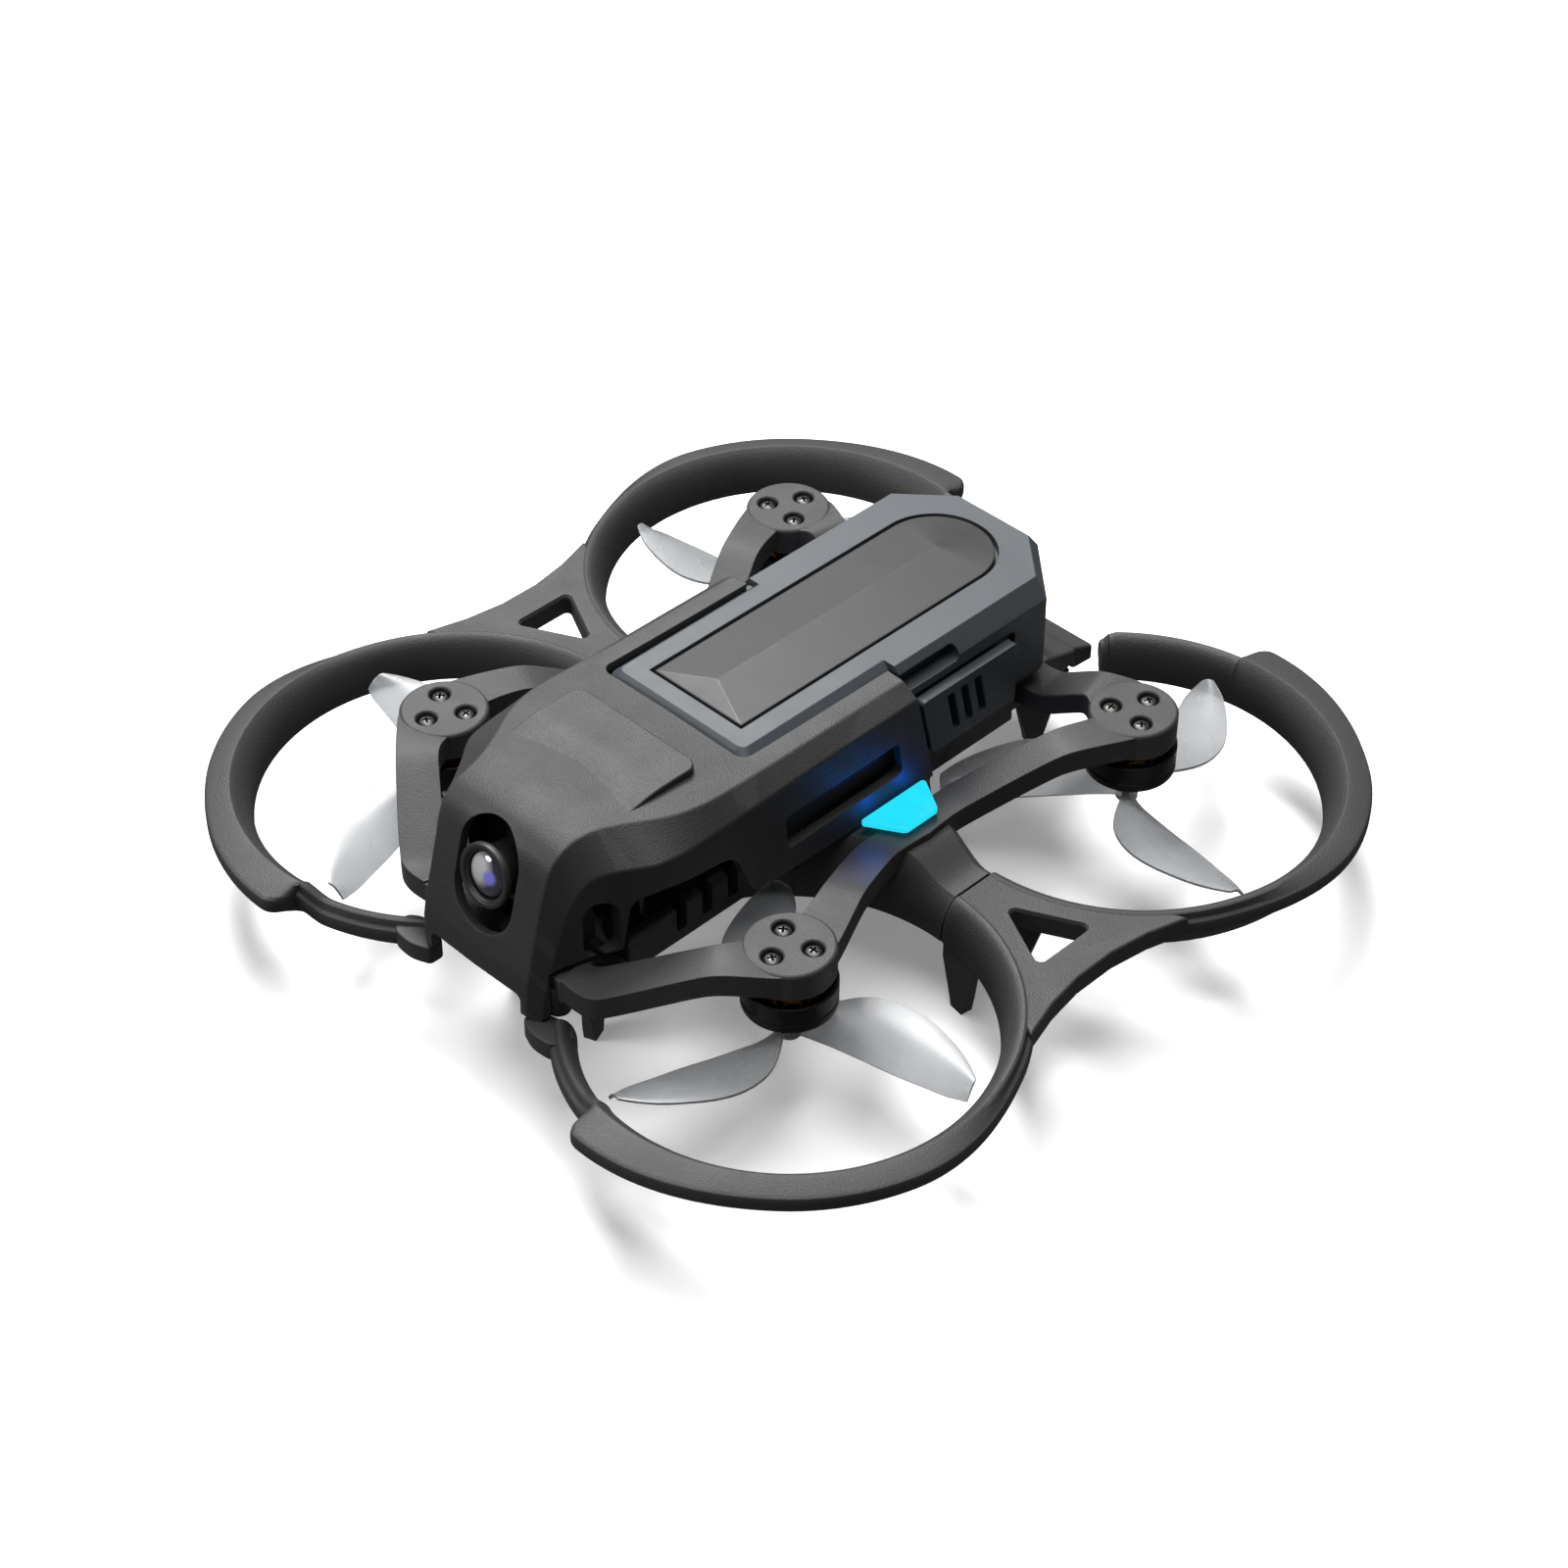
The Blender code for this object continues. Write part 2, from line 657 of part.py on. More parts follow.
def build_canopy():
    canopy = add("canopy", canopy_skin(), PLASTIC)
    mirror = canopy.modifiers.new("mirror", "MIRROR")
    mirror.use_clip = True
    mirror.merge_threshold = 0.00001
    shell = canopy.modifiers.new("shell", "SOLIDIFY")
    shell.thickness = SHELL * HALF_SPACING
    shell.offset = -1
    shell.use_even_offset = True
    plate = rounded([(-0.342, -1.36), (0.342, -1.36), (0.342, -0.832), (-0.342, -0.832)], 0.05)
    join(canopy, add("raised_plate", prism(plate, 0.865, 0.907)))

    middle = (WINDOW_Z[0] + WINDOW_Z[1]) / 2
    reach = (WINDOW_Z[1] - WINDOW_Z[0]) / 2 - WINDOW_HALF
    upper = arc((0, reach), WINDOW_HALF, 0, 180, 12)
    lower = arc((0, -reach), WINDOW_HALF, 180, 360, 12)
    window = prism(upper + lower, -0.12, 0.3)
    tilt = Matrix.Rotation(math.pi / 2 - NOSE_LEAN, 4, "X")
    window.transform(Matrix.Translation((0, -1.643, middle)) @ tilt)
    cut(canopy, add("camera_window", window))

    bay = rounded([(-SLOT_HALF, SLOT_FRONT), (SLOT_HALF, SLOT_FRONT), (SLOT_HALF, 2), (-SLOT_HALF, 2)], 0.05)
    cut(canopy, add("battery_slot", prism(bay, 0.75, 1.0)))
    rear = [(0.31, 0.0), (0.27, 0.34), (0.15, 0.835), (0.15, 1.0), (0.6, 1.0), (0.6, 0.0)]
    cut(canopy, add("rear_edge", side_prism(rear, -1, 1)))
    lower_edge = [(-1.655, 0.05), (-1.655, 0.352), (-1.36, 0.352), (-1.33, 0.60), (-1.24, 0.635),
                  (-0.90, 0.60), (-0.85, 0.56), (-0.76, 0.335), (-0.30, 0.318), (0.6, 0.318), (0.6, 0.05)]
    cut(canopy, add("lower_edge", side_prism(lower_edge, -1, 1)))
    side_slot = rounded([(-0.57, 0.455), (0.09, 0.455), (0.06, 0.60), (-0.59, 0.60)], 0.03)
    cut(canopy, add("side_slots", side_prism(side_slot, -1, 1)))
    cheek = rounded([(-1.485, 0.37), (-1.385, 0.37), (-1.385, 0.585), (-1.485, 0.585)], 0.045)
    cut(canopy, add("cheek_holes", side_prism(cheek, -1, 1)))
    chin = rounded([(-0.262, 0.0), (0.262, 0.0), (0.262, CHIN_Z), (-0.262, CHIN_Z)], 0.03)
    opening = prism(chin, -1.9, -1.5)
    opening.transform(Matrix.Rotation(math.pi / 2, 4, "X"))
    opening.transform(Matrix.Translation((0, -3.4, 0)))
    cut(canopy, add("chin_opening", opening))


# Tub and electronics -----------------------------------------------------------------------------


def build_tub():
    front, rear = -1.30, 0.92
    tub = add("lower_tub", box((-TUB_HALF, front, TUB_FLOOR), (TUB_HALF, rear, TUB_RIM)), PLASTIC)
    cut(tub, add("tub_inside", box(
        (-TUB_HALF + TUB_WALL, front + TUB_WALL, TUB_FLOOR + TUB_WALL),
        (TUB_HALF - TUB_WALL, rear - TUB_WALL, TUB_RIM + 1),
    )))
    for y in (-1.02, -0.88, -0.74):
        slot = box((-1, y - 0.028, TUB_FLOOR + 0.06), (1, y + 0.028, TUB_RIM + 1))
        cut(tub, add("tub_vent", slot))


def build_electronics():
    floor = TUB_FLOOR + TUB_WALL
    board = 0.365
    top = floor + 0.055
    add("flight_controller", box((-board, -board, top), (board, board, top + 0.03)), BOARD)
    for number, (x, y) in enumerate(((-1, -1), (1, -1), (-1, 1), (1, 1)), 1):
        damper = cylinder((0.33 * x, 0.33 * y), 0.035, floor + GAP, top - GAP, 16)
        add(f"board_damper_{number}", damper, RUBBER)
    port = top + 0.03 + GAP
    socket = add("usb_socket", box((-0.13, -board, port), (0.13, -board + 0.2, port + 0.08)), STEEL)
    mouth = box((-0.11, -board - 0.1, port + 0.02), (0.11, -board + 0.17, port + 0.06))
    cut(socket, add("usb_mouth", mouth))
    add("video_transmitter", box((-0.30, -1.22, floor + GAP), (0.30, -0.80, floor + 0.05)), BOARD)
    antenna = cylinder((0.0, 0.80), 0.03, floor + GAP, TUB_RIM - 0.02, 16)
    add("antenna", antenna, RUBBER)
    plug = box((-0.22, SLOT_FRONT - 0.12, floor + GAP), (0.22, SLOT_FRONT + 0.02, 0.66))
    socket = add("power_socket", plug, SATIN_BLACK)
    cut(socket, add("socket_mouth", box((-0.19, SLOT_FRONT - 0.06, 0.42), (0.19, SLOT_FRONT + 0.2, 0.62))))


def build_lights():
    for side, sign in (("left", -1), ("right", 1)):
        outline = [(0.585, -0.175), (0.60, -0.185), (0.745, -0.10), (0.757, -0.085),
                   (0.757, 0.085), (0.745, 0.10), (0.60, 0.185), (0.585, 0.175)]
        outline = [(sign * x, y) for x, y in outline]
        add("light_bar_" + side, prism(outline, 0.335 + GAP, 0.372), LIGHT)


# Battery ---------------------------------------------------------------------------------------


def battery_outline(inset):
    half = BATTERY_HALF - inset
    rear = BATTERY_REAR - inset
    return [(-half, SLOT_FRONT + 0.03 + inset), (half, SLOT_FRONT + 0.03 + inset), (half, 1.03),
            (0.20, rear), (-0.20, rear), (-half, 1.03)]


def build_battery():
    low = BATTERY_BOTTOM
    sections = []
    for z, inset in ((low, 0.02), (low + 0.03, 0.0), (SHOULDER_Z, 0.0)):
        sections.append([(x, y, z) for x, y in battery_outline(inset)])
    case = add("battery_case", loft(sections), SLATE)
    rear = []
    for z, inset in ((SHOULDER_Z - 0.02, 0.0), (SHOULDER_Z + 0.01, 0.0), (BATTERY_TOP, 0.065)):
        points = battery_outline(inset)
        points[0] = (points[0][0], 0.17 + GAP)
        points[1] = (points[1][0], 0.17 + GAP)
        rear.append([(x, y, z) for x, y in points])
    join(case, add("case_rear", loft(rear)))
    neck = SLOT_HALF - GAP * 1.5
    front = SLOT_FRONT + GAP * 1.5
    crown = []
    for z, inset in ((SHOULDER_Z - 0.02, 0.0), (0.825, 0.0), (BATTERY_TOP, 0.035)):
        corners = [(-neck + inset, front + inset), (neck - inset, front + inset), (neck - inset, 0.6),
                   (-neck + inset, 0.6)]
        crown.append([(x, y, z) for x, y in rounded(corners, 0.05 - inset * 0.5, 3)])
    join(case, add("case_crown", loft(crown)))
    inner = BATTERY_HALF - BATTERY_WALL
    cut(case, add("case_inside", box((-inner, SLOT_FRONT + 0.08, low - 1), (inner, 1.0, SHOULDER_Z - 0.03))))
    pocket = [(0.27, 0.385), (0.84, 0.385), (0.84, 0.715), (0.19, 0.715)]
    for sign in (-1, 1):
        low_x, high_x = sorted((sign * 0.446, sign * 1.0))
        cut(case, add("latch_pocket", side_prism(pocket, low_x, high_x)))
    half, nose_y, tail_y = 0.262, -0.529, 1.13
    recess = [(-half, nose_y), (half, nose_y)] + arc((0, tail_y - half), half, 0, 180, 16)
    cut(case, add("plate_recess", prism(recess, PLATE_FLOOR, 1.0)))
    build_top_plate(half - 2 * GAP, nose_y + 2 * GAP, tail_y - 2 * GAP)
    add("battery_base", box(
        (-inner + GAP, SLOT_FRONT + 0.08 + GAP, low + 0.002),
        (inner - GAP, 1.0 - GAP, low + 0.04),
    ), SLATE)
    for side, sign in (("left", -1), ("right", 1)):
        near, far = sorted((sign * GAP, sign * (inner - 2 * GAP)))
        cell = box((near, SLOT_FRONT + 0.20, low + 0.04 + GAP), (far, 1.0 - 2 * GAP, SHOULDER_Z - 0.03 - GAP))
        add("battery_cell_" + side, cell, FOIL)
    plug = box((-0.17, SLOT_FRONT - 0.04, 0.44), (0.17, SLOT_FRONT + 0.03 - GAP, 0.60))
    add("battery_plug", plug, SATIN_BLACK)


def build_latches():
    """The two squeeze tabs on the battery's sides, each hinged at its rear end."""
    for side, sign in (("left", -1), ("right", 1)):
        hinge = (sign * LATCH_HINGE[0], LATCH_HINGE[1])
        low_x, high_x = sorted((sign * 0.482, sign * 0.530))
        plate = side_prism([(0.300, 0.40), (0.80, 0.40), (0.80, 0.70), (0.228, 0.70)], low_x, high_x)
        tab = add("battery_latch_" + side, plate, SLATE, (*hinge, 0.0))
        join(tab, add("latch_knuckle", cylinder(hinge, 0.026, 0.402, 0.698, 20)))
        for front in (0.375, 0.455, 0.535):
            slot = [(front, 0.66), (front + 0.042, 0.66), (front + 0.090, 0.45), (front + 0.048, 0.45)]
            cut(tab, add("latch_slot", side_prism(slot, -1, 1)))


def build_top_plate(half, nose_y, tail_y):
    """The ridged cover on the battery: a faceted nose, a ridge and a rounded tail."""
    outline = [(-half, nose_y), (0.0, nose_y), (half, nose_y)]
    outline += arc((0, tail_y - half), half, 0, 180, 16)
    bm = prism(outline, PLATE_FLOOR + GAP, BATTERY_TOP)
    top = max(bm.faces, key=lambda f: f.calc_center_median().z)
    ridge = [bm.verts.new((0, nose_y + 0.11, BATTERY_TOP + 0.03)),
             bm.verts.new((0, tail_y - half, BATTERY_TOP + 0.022))]
    rim = list(top.verts)
    bm.faces.remove(top)
    for i, vert in enumerate(rim):
        after = rim[(i + 1) % len(rim)]
        pick = [ridge[0] if v.co.y < 0.2 else ridge[1] for v in (vert, after)]
        if pick[0] is pick[1]:
            bm.faces.new((vert, after, pick[0]))
        else:
            bm.faces.new((vert, after, pick[1], pick[0]))
    return add("battery_top_plate", bm, PLASTIC_SMOOTH)


# Camera ----------------------------------------------------------------------------------------


def camera_space(bm):
    """Moves a piece modelled round the pivot, looking along -Y, to its tilted place in the nose."""
    bm.transform(Matrix.Translation((0, PIVOT_Y, PIVOT_Z)) @ Matrix.Rotation(-NOSE_LEAN, 4, "X"))
    return bm


def lens_ring(radius, near, far):
    bm = cylinder((0, 0), radius, near, far, 32)
    bm.transform(Matrix.Rotation(math.pi / 2, 4, "X"))
    return bm


def build_camera():
    origin = (0, PIVOT_Y, PIVOT_Z)
    body = camera_space(box((-0.20, -0.06, -0.17), (0.20, 0.12, 0.17)))
    body = add("camera_body", body, SATIN_BLACK, origin)
    for side, sign in (("left", -1), ("right", 1)):
        ends = sorted((sign * 0.165, sign * 0.40))
        cut(body, add("pin_socket", across(PIN_R + GAP, *ends)))
        ends = sorted((sign * (0.165 + GAP), sign * 0.31))
        pin = add("camera_screw_" + side, across(PIN_R, *ends), STEEL, origin)
        ends = sorted((sign * (0.28 + GAP), sign * 0.318))
        join(pin, add("camera_screw_head", across(0.052, *ends)))
    tube = camera_space(lens_ring(LENS_R, 0.06 + GAP, LENS_REACH))
    barrel = add("lens_barrel", tube, SATIN_BLACK, origin)
    cut(barrel, add("lens_seat", camera_space(lens_ring(0.098, LENS_REACH - 0.05, LENS_REACH + 0.1))))
    dome = bmesh.new()
    bmesh.ops.create_uvsphere(dome, u_segments=20, v_segments=10, radius=0.098 - GAP)
    bmesh.ops.bisect_plane(dome, geom=dome.verts[:] + dome.edges[:] + dome.faces[:],
                           plane_co=(0, 0, 0), plane_no=(0, 1, 0), clear_outer=True)
    bmesh.ops.holes_fill(dome, edges=[e for e in dome.edges if e.is_boundary])
    bmesh.ops.scale(dome, verts=dome.verts, vec=(1, 0.55, 1))
    bmesh.ops.translate(dome, verts=dome.verts, vec=(0, -LENS_REACH + 0.05 - GAP, 0))
    add("lens_glass", camera_space(dome), GLASS, origin)


clear_scene()
DRONE = new_collection("fpv_racing_drone")
CUTTERS = new_collection("cutters", hidden=True)
PLASTIC = new_material("charcoal_plastic", (0.045, 0.045, 0.047), 0.55)
PLASTIC_SMOOTH = new_material("dark_grey_plastic", (0.07, 0.07, 0.07), 0.45)
SLATE = new_material("slate_plastic", (0.12, 0.135, 0.15), 0.4)
CLEAR = new_material("frosted_clear", (0.85, 0.87, 0.88), 0.3, alpha=0.4)
SATIN_BLACK = new_material("satin_black", (0.02, 0.02, 0.02), 0.35)
BLACK_METAL = new_material("black_metal", (0.02, 0.02, 0.02), 0.35, 0.7)
DARK_STEEL = new_material("dark_steel", (0.10, 0.10, 0.10), 0.4, 0.8)
STEEL = new_material("screw_steel", (0.45, 0.45, 0.45), 0.35, 1.0)
COPPER = new_material("copper_winding", (0.60, 0.26, 0.10), 0.35, 1.0)
BOARD = new_material("circuit_board", (0.02, 0.03, 0.05), 0.4)
RUBBER = new_material("soft_rubber", (0.03, 0.03, 0.03), 0.8)
FOIL = new_material("cell_foil", (0.50, 0.50, 0.52), 0.3, 0.6)
LIGHT = new_material("cyan_light", (0.02, 0.70, 0.95), 0.3, glow=2.0)
GLASS = new_material("lens_glass", (0.05, 0.05, 0.08), 0.05, alpha=0.5)

build_frame()
build_guard("guard_right", False)
build_guard("guard_left", True)
for rotor, (rotor_x, rotor_y, blade_angle, spin_sign) in ROTORS.items():
    build_motor(rotor, rotor_x, rotor_y)
    build_propeller(rotor, rotor_x, rotor_y, blade_angle, spin_sign)
    build_screws(rotor, rotor_x, rotor_y)
build_canopy()
build_tub()
build_electronics()
build_lights()
build_battery()
build_latches()
build_camera()
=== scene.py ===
"""The looks of the FPV racing drone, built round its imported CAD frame.

Shapes are made in drone units: 1 is half the distance between neighbouring motors, and heights are
counted from the lower rim of the propeller guards. The nose points along -Y.
"""

import json
import math

import bmesh
import bpy
from mathutils import Matrix, Vector


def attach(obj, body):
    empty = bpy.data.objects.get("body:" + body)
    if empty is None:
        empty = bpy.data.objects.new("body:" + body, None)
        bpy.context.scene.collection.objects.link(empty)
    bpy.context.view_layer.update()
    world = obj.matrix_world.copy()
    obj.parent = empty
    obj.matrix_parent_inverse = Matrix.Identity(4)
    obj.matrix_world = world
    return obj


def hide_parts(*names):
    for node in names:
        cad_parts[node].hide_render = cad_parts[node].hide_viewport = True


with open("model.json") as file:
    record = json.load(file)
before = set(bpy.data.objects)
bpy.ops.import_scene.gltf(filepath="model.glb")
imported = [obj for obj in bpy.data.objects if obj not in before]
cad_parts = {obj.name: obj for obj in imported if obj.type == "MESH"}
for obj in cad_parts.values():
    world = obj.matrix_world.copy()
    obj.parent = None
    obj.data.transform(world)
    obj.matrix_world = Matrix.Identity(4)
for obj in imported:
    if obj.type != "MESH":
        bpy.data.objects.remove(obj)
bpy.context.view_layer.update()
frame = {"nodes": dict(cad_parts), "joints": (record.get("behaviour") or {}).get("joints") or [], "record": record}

JOINTS = {joint["name"]: joint for joint in frame["joints"]}
UNIT = JOINTS["spin_front_right"]["pos_m"][0]
FOOT_DROP = 0.30
TO_WORLD = Matrix.Scale(UNIT, 4) @ Matrix.Translation((0, 0, FOOT_DROP))
MM = 0.001 / UNIT
GAP = 0.35 * MM

# Guards
DUCT_R = 0.82
DUCT_WALL = 0.03
CREST_Z = 0.20
PLAIN_R = 0.945
BUMPER_R = 1.06
STRUT_R = 0.93
SEAM_X = 1.04
NOTCH_ANGLE = -98.5
FRONT_END_ANGLE = -133.0
REAR_END_ANGLE = -138.5
KEEL_TOP = 0.145

# Arms, motors and propellers
ARM_TOP = 0.50
ARM_THICK = 0.106
MOUNT_R = 0.185
MOUNT_TOP = 0.507
MOUNT_BOTTOM = 0.377
SCREW_CIRCLE = 0.0942
SCREW_HEAD_R = 0.0355
SCREW_SEAT = MOUNT_TOP - 0.042
BELL_R = 0.192
BELL_TOP = 0.338
BELL_BOTTOM = 0.212
SHAFT_R = 0.021
PROP_R = 0.783
PROP_HUB_R = 0.047
PROP_HUB_BOTTOM = 0.035
PROP_HUB_TOP = 0.198
BLADE_THICK = 0.012
BOSS_R = SHAFT_R + 0.004
BOSS_END = PROP_HUB_BOTTOM + 0.040
WAIST_TURN = math.radians(64)

# Fuselage, battery and camera
SHELL = 0.042
NOSE_LEAN = math.radians(13.5)
SLOT_HALF = 0.404
SLOT_FRONT = -0.661
PLATE_FRONT = -1.36
PLATE_REAR = -0.832
PLATE_HALF = 0.342
PLATE_STEPS = 24
WINDOW_CENTRE = Vector((0, -1.643, 0.626))
WINDOW_HALF = 0.165
WINDOW_REACH = 0.085
CHIN_Z = 0.22
BATTERY_HALF = 0.478
BATTERY_TOP = 0.857
BATTERY_BOTTOM = 0.375
BATTERY_REAR = 1.285
SHOULDER_Z = 0.765
TOP_PLATE_FLOOR = BATTERY_TOP - 0.04
PIVOT = Vector((0.0, -1.425, 0.575))
LENS_R = 0.134
LENS_REACH = 0.238

# x side, y side, angle of the first trailing edge, and sense of turning
ROTORS = {
    "front_right": (1, -1, 13.0, 1),
    "front_left": (-1, -1, -73.0, -1),
    "rear_right": (1, 1, -11.0, -1),
    "rear_left": (-1, 1, -170.0, 1),
}


# Tools ---------------------------------------------------------------------------------------


def solid(name, bm):
    """An object from a bmesh in drone units, placed in the world."""
    bm.normal_update()
    bmesh.ops.recalc_face_normals(bm, faces=bm.faces)
    bm.transform(TO_WORLD)
    mesh = bpy.data.meshes.new(name)
    bm.to_mesh(mesh)
    bm.free()
    obj = bpy.data.objects.new(name, mesh)
    bpy.context.scene.collection.objects.link(obj)
    return obj


def settle(obj):
    """Applies the object's modifiers to its mesh."""
    bpy.context.view_layer.update()
    graph = bpy.context.evaluated_depsgraph_get()
    mesh = bpy.data.meshes.new_from_object(obj.evaluated_get(graph))
    obj.modifiers.clear()
    obj.data = mesh
    return obj


def combine(obj, helpers, operation):
    """Joins helper solids to an object, or cuts them from it, and removes them."""
    for helper in helpers:
        modifier = obj.modifiers.new("boolean", "BOOLEAN")
        modifier.operation = operation
        modifier.solver = "MANIFOLD"
        modifier.object = helper
    settle(obj)
    for helper in helpers:
        bpy.data.objects.remove(helper, do_unlink=True)
    return obj


def join(obj, *helpers):
    return combine(obj, helpers, "UNION")


def cut(obj, *helpers):
    return combine(obj, helpers, "DIFFERENCE")


def soften(obj, width_mm, segments=3, angle=35):
    """Rounds the edges that are sharper than the angle."""
    bevel = obj.modifiers.new("bevel", "BEVEL")
    bevel.width = width_mm * 0.001
    bevel.segments = segments
    bevel.limit_method = "ANGLE"
    bevel.angle_limit = math.radians(angle)
    bevel.miter_outer = "MITER_ARC"
    return settle(obj)


def place(obj, body, nodes, slot_name, sharp, finish=None):
    """Gives a piece its shading and material, hides the CAD nodes that it stands for, and hangs it on its body."""
    obj.data.materials.clear()
    obj.data.materials.append(MATERIALS[finish or slot_name])
    for polygon in obj.data.polygons:
        polygon.material_index = 0
    obj.data.shade_smooth()
    obj.data.set_sharp_from_angle(angle=math.radians(sharp))
    even = obj.modifiers.new("even_normals", "WEIGHTED_NORMAL")
    even.keep_sharp = True
    settle(obj)
    if nodes:
        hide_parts(*nodes)
    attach(obj, body)
    return obj


def arc(centre, radius, start, end, steps):
    points = []
    for i in range(steps + 1):
        angle = math.radians(start + (end - start) * i / steps)
        points.append((centre[0] + radius * math.cos(angle), centre[1] + radius * math.sin(angle)))
    return points


def rounded(corners, radius, steps=6):
    """The outline of a convex polygon with each corner rounded."""
    points = []
    count = len(corners)
    for i, corner in enumerate(corners):
        here = Vector(corner)
        back = (Vector(corners[i - 1]) - here).normalized()
        ahead = (Vector(corners[(i + 1) % count]) - here).normalized()
        half = back.angle(ahead) / 2
        centre = here + (back + ahead).normalized() * radius / math.sin(half)
        first = here + back * radius / math.tan(half) - centre
        last = here + ahead * radius / math.tan(half) - centre
        for step in range(steps + 1):
            spoke = first.lerp(last, step / steps).normalized() * radius
            points.append(tuple(centre + spoke))
    return points


def fillet(points, radii, steps=5):
    """An outline, convex or not, with each corner rounded by its own radius; 0 leaves it sharp."""
    outline = []
    count = len(points)
    for i, (corner, radius) in enumerate(zip(points, radii)):
        here = Vector(corner)
        if radius == 0:
            outline.append(tuple(here))
            continue
        back = Vector(points[i - 1]) - here
        ahead = Vector(points[(i + 1) % count]) - here
        reach = min(radius, 0.48 * back.length, 0.48 * ahead.length)
        start, end = here + back.normalized() * reach, here + ahead.normalized() * reach
        for step in range(steps + 1):
            t = step / steps
            outline.append(tuple(start.lerp(here, t).lerp(here.lerp(end, t), t)))
    return outline


def rectangle(low_a, high_a, low_b, high_b):
    return [(low_a, low_b), (high_a, low_b), (high_a, high_b), (low_a, high_b)]


def extruded(outline, low, high, place_point):
    bm = bmesh.new()
    near = [bm.verts.new(place_point(a, b, low)) for a, b in outline]
    far = [bm.verts.new(place_point(a, b, high)) for a, b in outline]
    bm.faces.new(near)
    bm.faces.new(far)
    for i in range(len(outline)):
        bm.faces.new((near[i - 1], near[i], far[i], far[i - 1]))
    return bm


def prism(outline, low, high):
    """A flat outline in plan, extruded between two heights."""
    return extruded(outline, low, high, lambda x, y, z: (x, y, z))


def side_prism(outline, low, high):
    """An outline of (y, z) points extruded between two x values."""
    return extruded(outline, low, high, lambda y, z, x: (x, y, z))


def box(low, high):
    bm = bmesh.new()
    size = [b - a for a, b in zip(low, high)]
    middle = [(a + b) / 2 for a, b in zip(low, high)]
    bmesh.ops.create_cube(bm, size=1, matrix=Matrix.Translation(middle) @ Matrix.Diagonal((*size, 1)))
    return bm


def revolved(profile, centre=(0.0, 0.0), segments=64):
    """A solid of revolution about an upright axis from (radius, height) points."""
    bm = bmesh.new()
    rings = []
    for radius, z in profile:
        if radius == 0:
            rings.append([bm.verts.new((centre[0], centre[1], z))])
            continue
        spots = arc(centre, radius, 0, 360, segments)[:segments]
        rings.append([bm.verts.new((x, y, z)) for x, y in spots])
    for first, second in zip(rings, rings[1:] + (rings[:1] if profile[0][0] else [])):
        for i in range(segments):
            quad = [first[i - 1 if len(first) > 1 else 0], first[i if len(first) > 1 else 0],
                    second[i if len(second) > 1 else 0], second[i - 1 if len(second) > 1 else 0]]
            bm.faces.new(list(dict.fromkeys(quad)))
    return bm


def loft(sections):
    """A closed skin over sections that all hold the same number of points, each a loop."""
    bm = bmesh.new()
    loops = [[bm.verts.new(p) for p in section] for section in sections]
    for first, second in zip(loops, loops[1:]):
        for i in range(len(first)):
            bm.faces.new((first[i - 1], first[i], second[i], second[i - 1]))
    bm.faces.new(loops[0])
    bm.faces.new(loops[-1])
    return bm


def mirrored(bm, x=False, y=False):
    copy = bm.copy()
    bmesh.ops.scale(copy, verts=copy.verts, vec=(-1 if x else 1, -1 if y else 1, 1))
    return copy


def smooth_step(value):
    value = min(max(value, 0.0), 1.0)
    return value * value * (3 - 2 * value)


def hermite(t, start, leave, end, arrive):
    """The smooth curve between two values with their slopes, at a share t of the way."""
    return ((2 * t ** 3 - 3 * t ** 2 + 1) * start + (t ** 3 - 2 * t ** 2 + t) * leave
            + (3 * t ** 2 - 2 * t ** 3) * end + (t ** 3 - t ** 2) * arrive)


def curve_value(table, at):
    """A smooth curve through (x, y) pairs, read at one x."""
    for i in range(len(table) - 1):
        (x0, y0), (x1, y1) = table[i], table[i + 1]
        if at <= x1 or i == len(table) - 2:
            break
    before = table[max(i - 1, 0)]
    after = table[min(i + 2, len(table) - 1)]
    slope0 = (y1 - before[1]) / (x1 - before[0])
    slope1 = (after[1] - y0) / (after[0] - x0)
    span = x1 - x0
    return hermite((at - x0) / span, y0, span * slope0, y1, span * slope1)


# Materials -----------------------------------------------------------------------------------


